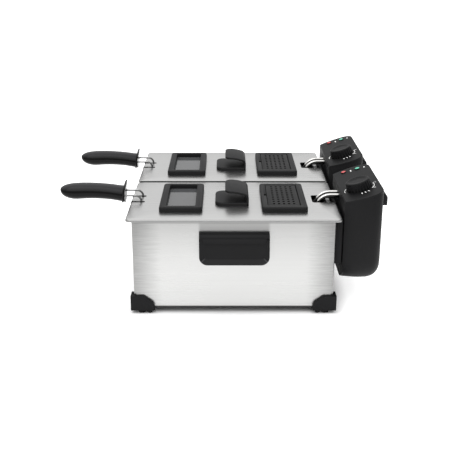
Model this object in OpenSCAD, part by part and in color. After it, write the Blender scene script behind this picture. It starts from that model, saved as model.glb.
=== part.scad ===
// Twin deep fryer: two lift-out oil tanks side by side in one steel case.
// Each unit has its own lid, wire basket, heating element and control head.
// +X runs from the basket handles to the control heads, +Z is up.
// The origin lies under the middle of the whole outline, on the table.

/* [Case] */
// Length of the steel case, from handle side to control side
case_x = 290; // [280:1:320]
// Depth of the steel case across both units
case_y = 368; // [364:1:400]
// Height of the underside of the case wall
case_bottom = 11; // [10:1:16]
// Height of the top of the case
case_top = 141; // [138:1:160]
// Sheet thickness of the case
case_wall = 1.2; // [0.8:0.1:1.6]
// Radius of the upright corners of the case
case_corner = 5; // [3:0.5:8]
// Thickness of the base plate under the case
base_thick = 3; // [2:0.5:4]

/* [Feet] */
// Reach of each corner guard along the case, from the corner
guard_reach = 30; // [26:1:40]
// How far a corner guard stands proud of the case
guard_proud = 4.5; // [3:0.5:6]
// Height of the corner guards at the corner
guard_top = 27.5; // [24:0.5:34]
// Height at which a corner guard ends on the case
guard_low = 16.5; // [14:0.5:20]
// Length over which a corner guard falls to its low end
guard_fall = 16; // [12:0.5:20]
// Radius at the low end of a corner guard
guard_round = 5; // [3:0.5:6]
// Clear height under the corner guards
guard_lift = 5; // [4:0.5:7]
// Diameter of the large foot pads
pad_d = 11; // [10:0.5:16]
// Distance of a large foot pad from the end of its corner guard
pad_x = 15.5; // [9:0.5:18]
// Distance of a large foot pad from the front of its corner guard
pad_y = 8.5; // [8:0.5:12]
// Diameter of the small foot pads
small_pad_d = 7; // [5:0.5:8]

/* [Lids] */
// How far the lids overhang the case at its ends
lid_over_x = 8; // [6:0.5:11]
// How far the lids overhang the case at front and back
lid_over_y = 6; // [4:0.5:9]
// Gap between the two lids
lid_gap = 5; // [3:0.5:8]
// Sheet thickness of the lids
lid_sheet = 1.2; // [0.8:0.1:1.6]
// Gap between the turned-down rim of a lid and the level of the case top
rim_gap = 0.5; // [0.3:0.1:1]
// Corner radius of a lid
lid_corner = 7; // [5:0.5:10]
// Width of each slot that a handle wire passes through
wire_slot = 4; // [3.8:0.1:5]
// Width of the notch that the heating tubes pass through
tube_notch_y = 32; // [26:1:40]
// Length of the notch inside the line of the case end
tube_notch_x = 26; // [25:1:30]

/* [Window and vent] */
// Length across the lid of the window frame and of the vent
fitting_x = 62.5; // [58:0.5:66]
// Length along the case depth of the window frame and of the vent
fitting_y = 122; // [114:1:130]
// Height of the window frame and of the vent above the lid
fitting_h = 8; // [7:0.5:10]
// Distance of the window centre from the handle end of the lid
window_inset = 76.5; // [70:0.5:80]
// Distance of the vent centre from the control end of the lid
vent_inset = 79.5; // [76:0.5:84]
// Clear opening of the window, the short way
window_open_x = 42; // [36:1:46]
// Clear opening of the window, the long way
window_open_y = 105; // [95:1:108]
// Thickness of the window glass
glass_thick = 1.6; // [1:0.1:2.4]
// How far the glass is held under the frame
glass_grip = 3.5; // [2:0.5:4]
// Width of the hinged vent grille
grille_x = 47; // [44:0.5:49]
// Length of the hinged vent grille
grille_y = 102; // [96:1:106]
// Thickness of the vent grille
grille_thick = 3.2; // [2.8:0.1:3.6]
// Number of grille slots across
grille_columns = 5; // [4:1:6]
// Number of grille slots along
grille_rows = 9; // [6:1:10]
// Width of one grille slot
grille_slot_x = 3.2; // [2.5:0.1:4]
// Length of one grille slot
grille_slot_y = 6.4; // [5:0.1:7]
// Radius of the grille's hinge pins
grille_pin = 1.1; // [0.8:0.1:1.3]

/* [Lid handle] */
// Length of the lid handle along the case depth
curl_y = 64; // [56:1:72]
// Length of the flat foot of the lid handle
curl_foot = 49.5; // [44:0.5:54]
// Thickness of the flat foot of the lid handle
curl_foot_thick = 5.5; // [4:0.5:7]
// Thickness of the curled band of the lid handle
curl_band = 3.4; // [2.5:0.1:4.5]
// Outer radius of the curl
curl_radius = 9; // [8:0.5:11]
// Height of the curl's centre above the lid
curl_rise = 9.5; // [9:0.5:12]
// Length of the flat flap of the lid handle
curl_flap = 28; // [22:1:32]
// Rise of the flap in degrees
curl_slope = 14; // [8:1:20]
// Distance of the curl's back from the lid centre
curl_shift = 22.5; // [16:0.5:28]

/* [Tanks] */
// Gap between a tank's end wall and the line of the case end
tank_inset = 4.8; // [4.8:0.2:9]
// Depth of a tank outside its wall
tank_y = 156; // [146:1:156]
// Height of the underside of a tank
tank_bottom = 34; // [28:1:40]
// Sheet thickness of a tank
tank_wall = 0.8; // [0.6:0.1:1.2]
// Width of the rolled rim that a tank hangs by
tank_rim = 4.2; // [3:0.1:4.2]
// Height of the rolled rim
tank_rim_h = 2.8; // [2:0.1:4]
// Radius of the upright tank corners
tank_corner = 22; // [12:1:30]
// Radius of the edge round the tank floor
tank_fillet = 14; // [8:1:15]
// Offset of tank, basket and heater from the lid centre
tank_shift = 4.5; // [0:0.5:4.5]
// Clearance between a tank and the hole that it hangs in
tank_clear = 0.8; // [0.5:0.1:1.2]

/* [Baskets] */
// Length of a basket
basket_x = 240; // [200:1:242]
// Depth of a basket
basket_y = 140; // [120:1:144]
// Height of a basket's floor above the table
basket_bottom = 54; // [52:1:60]
// Height of a basket's rim above the table
basket_top = 130; // [124:1:134]
// Distance from tank wall to the basket's handle end
basket_gap = 10; // [8:0.5:14]
// Thickness of the basket's wire mesh
mesh_thick = 1.6; // [1.2:0.1:2]
// Pitch of the basket's wire mesh
mesh_pitch = 12; // [10:1:16]
// Width of a mesh wire
mesh_wire = 2; // [1.4:0.1:3]
// Radius of the basket's rim wire
rim_wire = 2; // [1.5:0.1:2.5]
// Corner radius of the basket's rim wire
rim_corner = 5; // [4:0.5:8]

/* [Basket handles] */
// Radius of the two handle wires
wire_r = 1.5; // [1.2:0.1:1.6]
// Distance between the two handle wires
wire_gap = 28; // [24:1:34]
// Distance of the upright handle wires from the tank's end wall
wire_inset = 3.4; // [3.2:0.1:4.5]
// Height of the handle wires above the lid
wire_rise = 10.5; // [9:0.5:14]
// Bend radius of the handle wires
wire_bend = 9; // [7:0.5:9]
// Depth that a handle wire stands in its socket
socket_depth = 19; // [14:1:24]
// Running clearance between handle wire and socket
socket_clear = 0.08; // [0.03:0.01:0.1]
// Gap between the lid's edge and the handle grip
grip_gap = 8; // [6:0.5:12]
// Length of a handle grip
grip_length = 99; // [90:1:110]
// Tilt of the grip's guard in degrees
guard_tilt = 9.5; // [4:0.5:12]
// Depth that a handle wire reaches into the grip
grip_bore = 14; // [10:1:20]

/* [Heating element] */
// Radius of the heating tube
tube_r = 3.25; // [2.8:0.05:3.4]
// Distance between the two upright legs
leg_gap = 12; // [11:0.5:14]
// Distance of the upright legs inside the case end
leg_inset = 18; // [16:0.5:20]
// Bend radius over the tank rim
leg_bend = 22; // [18:1:24]
// Height of the heating loop above the table
loop_z = 45; // [44:0.5:46]
// Height of the tubes above the lid where they enter the head
tube_rise = 8; // [7:0.5:10]
// Distance of the outer heating runs from the middle
outer_run = 45; // [40:1:50]
// Distance of the inner heating runs from the middle
inner_run = 15; // [13:1:17]
// Distance of the far bends from the tank end
loop_end = 40; // [30:1:60]
// Bend radius where the legs meet the loop
low_bend = 22; // [16:1:26]
// Bend radius of the runs that spread out from the legs
cross_bend = 12; // [9:1:14]
// Distance of the near inner bend from the legs' bends
loop_near = 45; // [42:1:60]

/* [Control heads] */
// Distance from the case to the inner face of a control head
head_gap = 13; // [12:0.5:16]
// Thickness of a control head
head_x = 55; // [50:1:62]
// Greatest width of a control head
head_y = 160; // [150:1:164]
// Height of a control head's underside
head_bottom = 41; // [36:1:50]
// Height of the panel's inner edge above the lid
panel_rise = 19.5; // [17:0.5:26]
// Slope of the control panel in degrees
panel_slope = 17.6; // [12:0.1:22]
// Thickness of the control panel
panel_thick = 3; // [2:0.5:4]
// Wall thickness of a control head
head_wall = 2.5; // [2:0.1:3]
// Radius of the bowed sides of a control head, seen from above
head_bow = 72; // [68:1:90]
// Radius of the outer upright corners of a control head
head_corner = 13; // [10:1:16]
// Radius of the lower outer edge of a control head
head_toe = 28; // [20:1:34]
// Radius of the lower side edges of a control head
head_heel = 36; // [28:1:44]
// How far the lifting ledge stands out behind a head
ledge_x = 14; // [10:0.5:18]
// Width of the lifting ledge
ledge_y = 60; // [50:1:70]
// Height of the lifting ledge's outer edge
ledge_lip = 12.6; // [10:0.2:15]
// Height of the lifting ledge against the head
ledge_h = 26; // [20:0.5:30]
// Clear height between a lid and the lifting ledge
ledge_lift = 1; // [0.6:0.1:2]
// Height of the guide block's underside
rail_bottom = 70; // [60:1:76]
// Height of the guide block's top under the case top
rail_drop = 5; // [4:0.5:8]
// Depth that the head's tongue reaches down from the block's top
tongue_depth = 50; // [40:1:56]
// Clearance between tongue and guide
tongue_clear = 0.45; // [0.3:0.05:0.6]

/* [Controls] */
// Diameter of a knob
knob_d = 37.5; // [32:0.5:40]
// Height of a knob above the panel
knob_h = 13.5; // [10:0.5:15]
// Distance of the knob from the panel's inner edge
knob_u = 27; // [25:0.5:31]
// Distance of the knob from the panel's middle
knob_v = 31; // [28:0.5:38]
// Number of grip flutes round a knob
knob_flutes = 24; // [16:2:30]
// Radius of the thermostat shaft
shaft_r = 3; // [2.5:0.1:3.5]
// Running clearance of the thermostat shaft
shaft_clear = 0.06; // [0.03:0.01:0.1]
// Diameter of a pilot lamp
lamp_d = 8.5; // [6:0.5:10]
// Diameter of the reset button
reset_d = 9; // [7:0.5:11]
// Travel of the reset button
reset_travel = 2; // [1.5:0.1:2.5]
// Bore of the cable gland
gland_bore = 8; // [6:0.5:9]

/* [Carry handles] */
// Width of a carry handle
carry_x = 101; // [90:1:120]
// Height of a carry handle's upper edge
carry_top = 126; // [120:1:130]
// Height of a carry handle
carry_h = 44.5; // [38:0.5:50]
// How far a carry handle's lip stands out
carry_lip = 18; // [16:0.5:22]
// How far a carry handle's body stands out
carry_out = 14; // [12:0.5:16]
// Wall thickness of a carry handle
carry_wall = 2.8; // [2:0.1:3.4]
// Height of the flared band along a carry handle's lower edge
carry_band = 9; // [6:0.5:12]
// Radius along a carry handle's upper edge
carry_round = 8; // [5:0.5:10]
// Radius of a carry handle's lower corners
carry_corner = 12; // [8:0.5:16]

/* [Hidden] */
$fn = 48;

// Rims, seats and heights that follow from the sizes above
tank_x = case_x - 2 * tank_inset;
tank_top = case_top + tank_rim_h;
lid_top = tank_top + lid_sheet;
lid_x = case_x + 2 * lid_over_x;
lid_y = (case_y + 2 * lid_over_y - lid_gap) / 2;
unit_pitch = lid_y + lid_gap;
window_shift = lid_x / 2 - window_inset;
vent_shift = lid_x / 2 - vent_inset;
head_inner = case_x / 2 + head_gap;
head_outer = head_inner + head_x;
panel_low = lid_top + panel_rise;
panel_high = panel_low + head_x * tan(panel_slope);
wire_x = -tank_x / 2 + tank_wall + wire_inset;
wire_z = lid_top + wire_rise;
grip_inner = -lid_x / 2 - grip_gap;
grip_tip = grip_inner - grip_length;
leg_x = case_x / 2 - leg_inset;
tube_z = lid_top + tube_rise;
tank_floor = tank_bottom + tank_wall;
basket_low_x = -tank_x / 2 + basket_gap;
socket_floor = basket_top - socket_depth - 8;
socket_wall = 1.1;
frame_x = -(grip_tip + head_outer + ledge_x) / 2;
overlap = 1;
mate = 0.01;

// ---- shared forms ----

// Moves a unit's piece to the front (-1) or the rear (1) half
module unit(side) {
    translate([frame_x, side * unit_pitch / 2, 0]) children();
}

// Moves a piece that serves both units
module whole() {
    translate([frame_x, 0, 0]) children();
}

// Rectangle about the origin with round corners
module rounded_rect(x, y, r) {
    square([x - 2 * r, y], center = true);
    square([x, y - 2 * r], center = true);
    for (i = [-1, 1], j = [-1, 1])
        translate([i * (x / 2 - r), j * (y / 2 - r)]) circle(r);
}

// Rectangle on a base line with its two upper corners rounded
module arch_rect(x, h, r) {
    translate([-x / 2, 0]) square([x, h - r]);
    translate([-x / 2 + r, 0]) square([x - 2 * r, h]);
    for (i = [-1, 1])
        translate([i * (x / 2 - r), h - r]) circle(r);
}

// Upright block from z_low to z_high with a rounded plan
module slab(x, y, r, z_low, z_high) {
    translate([0, 0, z_low]) linear_extrude(z_high - z_low) rounded_rect(x, y, r);
}

// Block on z = 0 with round corners in plan and soft upper edges
module soft_block(x, y, h, r, edge) {
    intersection() {
        linear_extrude(h) rounded_rect(x, y, r);
        translate([0, y, 0]) rotate([90, 0, 0]) linear_extrude(2 * y) arch_rect(x, h, edge);
        translate([-x, 0, 0]) rotate([90, 0, 90]) linear_extrude(2 * x) arch_rect(y, h, edge);
    }
}

// Pan from z_low to z_high with round corners in plan and a rounded floor edge
module pan(x, y, r, z_low, z_high, fillet) {
    h = z_high - z_low;
    translate([0, 0, z_high]) mirror([0, 0, 1]) soft_block(x, y, h, r, fillet);
}

// Rods along the three axes
module rod_x(x0, x1, y, z, r) {
    translate([min(x0, x1), y, z]) rotate([0, 90, 0]) cylinder(h = abs(x1 - x0), r = r);
}
module rod_y(x, y0, y1, z, r) {
    translate([x, max(y0, y1), z]) rotate([90, 0, 0]) cylinder(h = abs(y1 - y0), r = r);
}
module rod_z(x, y, z0, z1, r) {
    translate([x, y, min(z0, z1)]) cylinder(h = abs(z1 - z0), r = r);
}

// Bends of a rod about a centre: flat in plan, or upright along X
module bend_flat(centre, bend, r, start, angle) {
    translate(centre) rotate([0, 0, start]) rotate_extrude(angle = angle)
        translate([bend, 0]) circle(r, $fn = 24);
}
module bend_upright(centre, bend, r, start, angle) {
    translate(centre) rotate([90, 0, 0]) rotate([0, 0, start]) rotate_extrude(angle = angle)
        translate([bend, 0]) circle(r, $fn = 24);
}

// Points of an arc in a plane
function arc(centre, r, start, end, steps) =
    [for (i = [0:steps]) let(a = start + (end - start) * i / steps)
        centre + r * [cos(a), sin(a)]];

// ---- case and feet ----

module case() {
    color("silver") whole() difference() {
        slab(case_x, case_y, case_corner, case_bottom, case_top);
        slab(case_x - 2 * case_wall, case_y - 2 * case_wall, case_corner - case_wall,
             case_bottom - overlap, case_top - case_wall);
        for (side = [-1, 1])
            translate([0, side * unit_pitch / 2 + tank_shift, 0])
                slab(tank_x + 2 * tank_clear, tank_y + 2 * tank_clear, tank_corner + tank_clear,
                     case_top - 2 * case_wall, case_top + overlap);
    }
}

air_pitch = 24;
air_slot = 6;

module base_plate() {
    margin = 2 * case_wall + 1;
    color("dimgray") whole() difference() {
        union() {
            slab(case_x, case_y, case_corner, case_bottom - base_thick, case_bottom);
            slab(case_x - margin, case_y - margin, case_corner - case_wall,
                 case_bottom, case_bottom + base_thick);
        }
        // rows of cooling slots under each unit
        for (side = [-1, 1], i = [-4:4])
            translate([i * air_pitch, side * case_y / 4, case_bottom])
                cube([air_slot, case_y / 4 - 2, 4 * base_thick], center = true);
    }
}

// Slanted outline that cuts a corner guard down away from the corner
module guard_outline() {
    reach = guard_reach + guard_proud;
    flat_top = reach - guard_fall;
    slope = atan2(guard_top - guard_low, guard_fall);
    polygon(concat(
        [[0, guard_lift], [reach, guard_lift]],
        arc([reach - guard_round, guard_low - guard_round * (1 - sin(slope)) / cos(slope)],
            guard_round, 0, 90 - slope, 6),
        [[flat_top, guard_top], [0, guard_top]]));
}

module foot_guard() {
    reach = guard_reach + guard_proud;
    radius = case_corner + guard_proud;
    difference() {
        intersection() {
            translate([0, 0, guard_lift]) linear_extrude(guard_top) union() {
                translate([radius, 0]) square([reach - radius, reach]);
                translate([0, radius]) square([reach, reach - radius]);
                translate([radius, radius]) circle(radius);
            }
            translate([0, reach, 0]) rotate([90, 0, 0]) linear_extrude(reach) guard_outline();
            translate([0, 0, 0]) rotate([90, 0, 90]) linear_extrude(reach) guard_outline();
        }
        // room for the case and its base plate
        translate([guard_proud - mate, guard_proud - mate, case_bottom - base_thick])
            linear_extrude(guard_top) union() {
                translate([case_corner, 0]) square([reach, reach]);
                translate([0, case_corner]) square([reach, reach]);
                translate([case_corner, case_corner]) circle(case_corner);
            }
    }
}

// Places something at each corner of the case, its own corner outwards
module at_corners() {
    for (i = [0, 1], j = [0, 1])
        mirror([i, 0, 0]) mirror([0, j, 0])
            translate([-case_x / 2 - guard_proud, -case_y / 2 - guard_proud, 0]) children();
}

module foot_guards() {
    color("#2b2b2c") whole() at_corners() foot_guard();
}

// The small pads stand a little clear of the table
pad_step = 0.6;
small_pad_in = 3;
small_pad_y = 5.5;

module foot_pads() {
    color("#1c1c1d") whole() at_corners() {
        rod_z(pad_x, pad_y, 0, guard_lift, pad_d / 2);
        rod_z(guard_reach - small_pad_in, small_pad_y, pad_step, guard_lift, small_pad_d / 2);
        rod_z(small_pad_y, guard_reach - small_pad_in, pad_step, guard_lift, small_pad_d / 2);
    }
}

// ---- carry handles ----

// Square edge of the lip, and drop of the upper edge over its rounding
carry_edge = 1.5;

// Side outline of the cupped carry handle, measured out from the case wall
module carry_outline(inset) {
    top = carry_top - inset;
    low = carry_top - carry_h;
    out = carry_out - inset;
    lip = carry_lip - inset;
    below = inset > 0 ? overlap : 0;
    polygon(concat(
        [[0, low - below], [lip, low - below], [lip, low + carry_edge],
         [out + 0.5, low + carry_band]],
        arc([out - carry_round, top - carry_round - carry_edge], carry_round, 0, 70, 6),
        [[0, top]]));
}

module carry_cup(inset) {
    width = carry_x - 2 * inset;
    corner = carry_corner - inset;
    intersection() {
        translate([-width / 2, 0, 0]) rotate([90, 0, 90]) linear_extrude(width)
            carry_outline(inset);
        translate([0, carry_lip + overlap, carry_top + overlap - inset]) rotate([90, 0, 0])
            linear_extrude(carry_lip + 2 * overlap) mirror([0, 1])
                arch_rect(width, carry_h + 2 * overlap, corner);
    }
}

module carry_handles() {
    color("#2b2b2c") whole() for (i = [0, 1]) mirror([0, i, 0])
        translate([0, case_y / 2, 0]) difference() {
            carry_cup(0);
            translate([0, -mate, 0]) carry_cup(carry_wall);
        }
}

// ---- guide blocks on the case end ----

rail_top = case_top - rail_drop;
rail_y = 142;
rail_gap = 0.4;
slot_skin = 3.2;
slot_deep = 5.4;
slot_wide = 37;
slot_neck = 19;
rail_corner = 3;

// T-shaped section of guide slot (inset 0) or tongue (inset above 0), from the case end outwards
module tee(inset) {
    translate([slot_skin + inset, -slot_wide / 2 + inset])
        square([slot_deep - 2 * inset, slot_wide - 2 * inset]);
    translate([slot_skin + inset, -slot_neck / 2 + inset])
        square([head_gap - slot_skin + (inset > 0 ? 0 : overlap), slot_neck - 2 * inset]);
}

module guide_block() {
    difference() {
        translate([case_x / 2, 0, rail_bottom]) linear_extrude(rail_top - rail_bottom)
            rotate([0, 0, -90]) arch_rect(rail_y, head_gap - rail_gap, rail_corner);
        translate([case_x / 2, 0, rail_top - tongue_depth])
            linear_extrude(tongue_depth + overlap) tee(0);
    }
}

module guide_blocks() {
    color("#202021") for (side = [-1, 1]) unit(side) guide_block();
}

// ---- lids ----

module lid(side) {
    color("gainsboro") unit(side) difference() {
        slab(lid_x, lid_y, lid_corner, case_top + rim_gap, lid_top);
        slab(lid_x - 2 * lid_sheet, lid_y - 2 * lid_sheet, lid_corner - lid_sheet,
             case_top, tank_top);
        // openings under the window and the vent
        translate([-window_shift, 0, 0])
            slab(window_open_x, window_open_y, 2, tank_top - overlap, lid_top + overlap);
        translate([vent_shift, 0, 0])
            slab(grille_x - 8, grille_y - 8, 2, tank_top - overlap, lid_top + overlap);
        // slots for the handle wires, open at the edge
        for (j = [-1, 1])
            translate([-lid_x / 2 - overlap, tank_shift + (j * wire_gap - wire_slot) / 2, case_top])
                cube([wire_x + wire_r + 0.5 + lid_x / 2 + overlap, wire_slot, lid_top]);
        // notch for the heating tubes, open at the edge
        translate([case_x / 2 - tube_notch_x, tank_shift - tube_notch_y / 2, case_top])
            cube([lid_x, tube_notch_y, lid_top]);
    }
}

module window_frame(side) {
    color("#343435") unit(side) translate([-window_shift, 0, lid_top]) difference() {
        soft_block(fitting_x, fitting_y, fitting_h, 5, 2.5);
        slab(window_open_x, window_open_y, 1.5, -overlap, fitting_h + overlap);
        slab(window_open_x + 2 * glass_grip + 0.4, window_open_y + 2 * glass_grip + 0.4, 1.5,
             -overlap, glass_thick);
    }
}

module window_glass(side) {
    color("#9aa0a3", 0.6) unit(side) translate([-window_shift, 0, lid_top])
        slab(window_open_x + 2 * glass_grip, window_open_y + 2 * glass_grip, 1.5, 0, glass_thick);
}

// Side outline of the curled band, its upright back on x = 0
module curl_outline() {
    centre = [-curl_radius, curl_rise];
    turn = 90 - curl_slope;
    along = [-cos(curl_slope), sin(curl_slope)];
    outer = arc(centre, curl_radius, 0, turn, 12);
    inner = arc(centre, curl_radius - curl_band, turn, 0, 12);
    tip = outer[12] + curl_flap * along;
    under = inner[0] + curl_flap * along;
    polygon(concat([[-curl_band, 0], [0, 0]], outer, [tip, under], inner));
}

module lid_handle(side) {
    color("#343435") unit(side) translate([curl_shift, 0, lid_top]) {
        linear_extrude(curl_foot_thick) rotate([0, 0, 90]) arch_rect(curl_y, curl_foot, 12);
        intersection() {
            translate([0, curl_y / 2, 0]) rotate([90, 0, 0]) linear_extrude(curl_y)
                curl_outline();
            linear_extrude(4 * curl_rise) rotate([0, 0, 90])
                arch_rect(curl_y, curl_radius + curl_flap + 5, 9);
        }
    }
}

// ---- vent ----

vent_floor = 2;
grille_sink = 0.4;
grille_gap = 0.5;
grille_top = lid_top + fitting_h - grille_sink;
hinge_x = grille_x / 2 - grille_thick / 2;
hinge_z = grille_top - grille_thick / 2;
filter_gap = 0.3;
pin_reach = 3;

module vent_base(side) {
    color("#343435") unit(side) translate([vent_shift, 0, 0]) difference() {
        translate([0, 0, lid_top]) soft_block(fitting_x, fitting_y, fitting_h, 5, 2.5);
        slab(grille_x + 2 * grille_gap, grille_y + 2 * grille_gap, 1.5,
             lid_top + vent_floor, grille_top + overlap);
        slab(grille_x - 8, grille_y - 8, 2, lid_top - overlap, lid_top + vent_floor + overlap);
        // finger notch at the free edge, and the bores of the hinge
        translate([-grille_x / 2 - 4, -4, lid_top + vent_floor + 2.5]) cube([5, 8, fitting_h]);
        rod_y(hinge_x, -grille_y / 2 - pin_reach - 1, grille_y / 2 + pin_reach + 1, hinge_z,
              grille_pin + 0.05);
    }
}

module vent_grille(side) {
    step_x = grille_x / (grille_columns + 0.66);
    step_y = grille_y / (grille_rows + 0.35);
    color("#303031") unit(side) translate([vent_shift, 0, 0]) difference() {
        union() {
            translate([hinge_x, 0, grille_top - grille_thick]) linear_extrude(grille_thick)
                rotate([0, 0, 90]) arch_rect(grille_y, grille_x - grille_thick / 2, 1.5);
            rod_y(hinge_x, -grille_y / 2, grille_y / 2, hinge_z, grille_thick / 2);
            rod_y(hinge_x, -grille_y / 2 - pin_reach, grille_y / 2 + pin_reach, hinge_z,
                  grille_pin);
        }
        for (i = [0:grille_columns - 1], j = [0:grille_rows - 1])
            translate([(i - (grille_columns - 1) / 2) * step_x - grille_slot_x / 2,
                       (j - (grille_rows - 1) / 2) * step_y - grille_slot_y / 2,
                       grille_top - grille_thick - overlap])
                cube([grille_slot_x, grille_slot_y, grille_thick + 2 * overlap]);
    }
}

module vent_filter(side) {
    color("#8a8a86") unit(side) translate([vent_shift, 0, 0])
        slab(grille_x - 1, grille_y - 1, 1.5, lid_top + vent_floor,
             grille_top - grille_thick - filter_gap);
}

// ---- tanks ----

module tank(side) {
    color("silver") unit(side) translate([0, tank_shift, 0]) difference() {
        union() {
            pan(tank_x, tank_y, tank_corner, tank_bottom, tank_top, tank_fillet);
            translate([0, 0, case_top])
                soft_block(tank_x + 2 * tank_rim, tank_y + 2 * tank_rim, tank_rim_h,
                           tank_corner + tank_rim, tank_rim_h / 2);
        }
        pan(tank_x - 2 * tank_wall, tank_y - 2 * tank_wall, tank_corner - tank_wall,
            tank_floor, tank_top + overlap, tank_fillet - tank_wall);
    }
}

// ---- heating element and thermostat probe ----

cross_x = leg_x - low_bend;
tube_end = head_inner + 8;

// One half of the tube, from the head over the rim and round the loop to the middle
module half_element() {
    y1 = leg_gap / 2;
    far_x = -tank_x / 2 + loop_end;
    near_x = cross_x - loop_near;
    turn = (outer_run - inner_run) / 2;
    rod_x(leg_x + leg_bend, tube_end, y1, tube_z, tube_r);
    bend_upright([leg_x + leg_bend, y1, tube_z - leg_bend], leg_bend, tube_r, 90, 90);
    rod_z(leg_x, y1, loop_z + low_bend, tube_z - leg_bend, tube_r);
    bend_upright([cross_x, y1, loop_z + low_bend], low_bend, tube_r, -90, 90);
    bend_flat([cross_x, y1 + cross_bend, loop_z], cross_bend, tube_r, 180, 90);
    rod_y(cross_x - cross_bend, y1 + cross_bend, outer_run - cross_bend, loop_z, tube_r);
    bend_flat([cross_x - 2 * cross_bend, outer_run - cross_bend, loop_z], cross_bend, tube_r, 0, 90);
    rod_x(cross_x - 2 * cross_bend, far_x, outer_run, loop_z, tube_r);
    bend_flat([far_x, inner_run + turn, loop_z], turn, tube_r, 90, 180);
    rod_x(far_x, near_x, inner_run, loop_z, tube_r);
    bend_flat([near_x, 0, loop_z], inner_run, tube_r, 0, 90);
}

module heating_element(side) {
    color("silver") unit(side) translate([0, tank_shift, 0])
        for (j = [0, 1]) mirror([0, j, 0]) half_element();
}

probe_x = leg_x - 9.5;
probe_z = tube_z - 6;
probe_bend = 16;
bulb_r = 3;
bulb_low = 10;
bulb_length = 60;
capillary_r = 1;

module thermostat_probe(side) {
    color("silver") unit(side) translate([0, tank_shift, 0]) {
        rod_z(probe_x, 0, loop_z + bulb_low, loop_z + bulb_low + bulb_length, bulb_r);
        rod_z(probe_x, 0, loop_z + bulb_low + bulb_length - overlap, probe_z - probe_bend,
              capillary_r);
        bend_upright([probe_x + probe_bend, 0, probe_z - probe_bend], probe_bend, capillary_r,
                     90, 90);
        rod_x(probe_x + probe_bend, tube_end, 0, probe_z, capillary_r);
    }
}

// ---- baskets ----

basket_mid = basket_low_x + basket_x / 2;

// Square holes in rows, centred on the origin, cut through a wall of the basket
module mesh_holes(x, y, depth) {
    hole = mesh_pitch - mesh_wire;
    nx = floor((x + mesh_wire) / mesh_pitch);
    ny = floor((y + mesh_wire) / mesh_pitch);
    linear_extrude(depth, center = true)
        for (i = [0:nx - 1], j = [0:ny - 1])
            translate([(i - (nx - 1) / 2) * mesh_pitch, (j - (ny - 1) / 2) * mesh_pitch])
                square(hole, center = true);
}

// Wire ring with round corners, lying flat
module wire_ring(x, y, r, wire) {
    for (j = [0, 1]) mirror([0, j, 0]) {
        rod_x(-x / 2 + r, x / 2 - r, y / 2, 0, wire);
        for (i = [0, 1]) mirror([i, 0, 0])
            bend_flat([x / 2 - r, y / 2 - r, 0], r, wire, 0, 90);
    }
    for (i = [0, 1]) mirror([i, 0, 0])
        rod_y(x / 2, -y / 2 + r, y / 2 - r, 0, wire);
}

// Flat perforated panel about the origin, its thickness upwards
module mesh_panel(x, y) {
    margin = 4 * mesh_wire;
    difference() {
        translate([-x / 2, -y / 2, 0]) cube([x, y, mesh_thick]);
        mesh_holes(x - margin, y - margin, 4 * mesh_thick);
    }
}

rim_z = basket_top - rim_wire;
wall_z = rim_z - rim_wire - basket_bottom;

module in_basket(side) {
    color("lightgray") unit(side) translate([basket_mid, tank_shift, 0]) children();
}

module basket_floor(side) {
    in_basket(side) translate([0, 0, basket_bottom])
        mesh_panel(basket_x - 2 * mesh_thick, basket_y - 2 * mesh_thick);
}

module basket_sides(side) {
    in_basket(side) for (j = [0, 1]) mirror([0, j, 0])
        translate([0, basket_y / 2, basket_bottom + wall_z / 2]) rotate([90, 0, 0])
            mesh_panel(basket_x, wall_z);
}

module basket_ends(side) {
    in_basket(side) for (i = [0, 1]) mirror([i, 0, 0])
        translate([basket_x / 2 - mesh_thick, 0, basket_bottom + wall_z / 2])
            rotate([90, 0, 90]) mesh_panel(basket_y - 2 * mesh_thick, wall_z);
}

module basket_rim(side) {
    in_basket(side) translate([0, 0, rim_z])
        wire_ring(basket_x - mesh_thick, basket_y - mesh_thick, rim_corner, rim_wire);
}

module basket_frame(side) {
    foot_x = basket_x / 2 - 20;
    foot_y = basket_y / 2 - 12;
    socket_r = wire_r + socket_clear + socket_wall;
    socket_top = socket_floor + socket_depth;
    color("silver") unit(side) translate([0, tank_shift, 0]) {
        // two bent wires under the floor, their ends standing in the tank
        translate([basket_mid, 0, 0]) for (j = [-1, 1]) {
            rod_x(-foot_x, foot_x, j * foot_y, basket_bottom - rim_wire, rim_wire);
            for (i = [-1, 1])
                rod_z(i * foot_x, j * foot_y, tank_floor, basket_bottom - rim_wire, rim_wire);
        }
        // bracket with the two sockets of the handle
        difference() {
            union() {
                translate([wire_x, -wire_gap / 2 - socket_r, socket_floor])
                    cube([basket_low_x - wire_x, wire_gap + 2 * socket_r, socket_depth / 2]);
                for (j = [-1, 1])
                    rod_z(wire_x, j * wire_gap / 2, socket_floor - 2, socket_top, socket_r);
            }
            for (j = [-1, 1])
                rod_z(wire_x, j * wire_gap / 2, socket_floor, socket_top + overlap,
                      wire_r + socket_clear);
        }
    }
}

// ---- basket handles ----

module handle_wires(side) {
    color("silver") unit(side) translate([0, tank_shift, 0]) for (j = [-1, 1]) {
        y1 = j * wire_gap / 2;
        rod_z(wire_x, y1, socket_floor, wire_z - wire_bend, wire_r);
        bend_upright([wire_x - wire_bend, y1, wire_z - wire_bend], wire_bend, wire_r, 0, 90);
        rod_x(wire_x - wire_bend, grip_inner - grip_bore, y1, wire_z, wire_r);
    }
}

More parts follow.
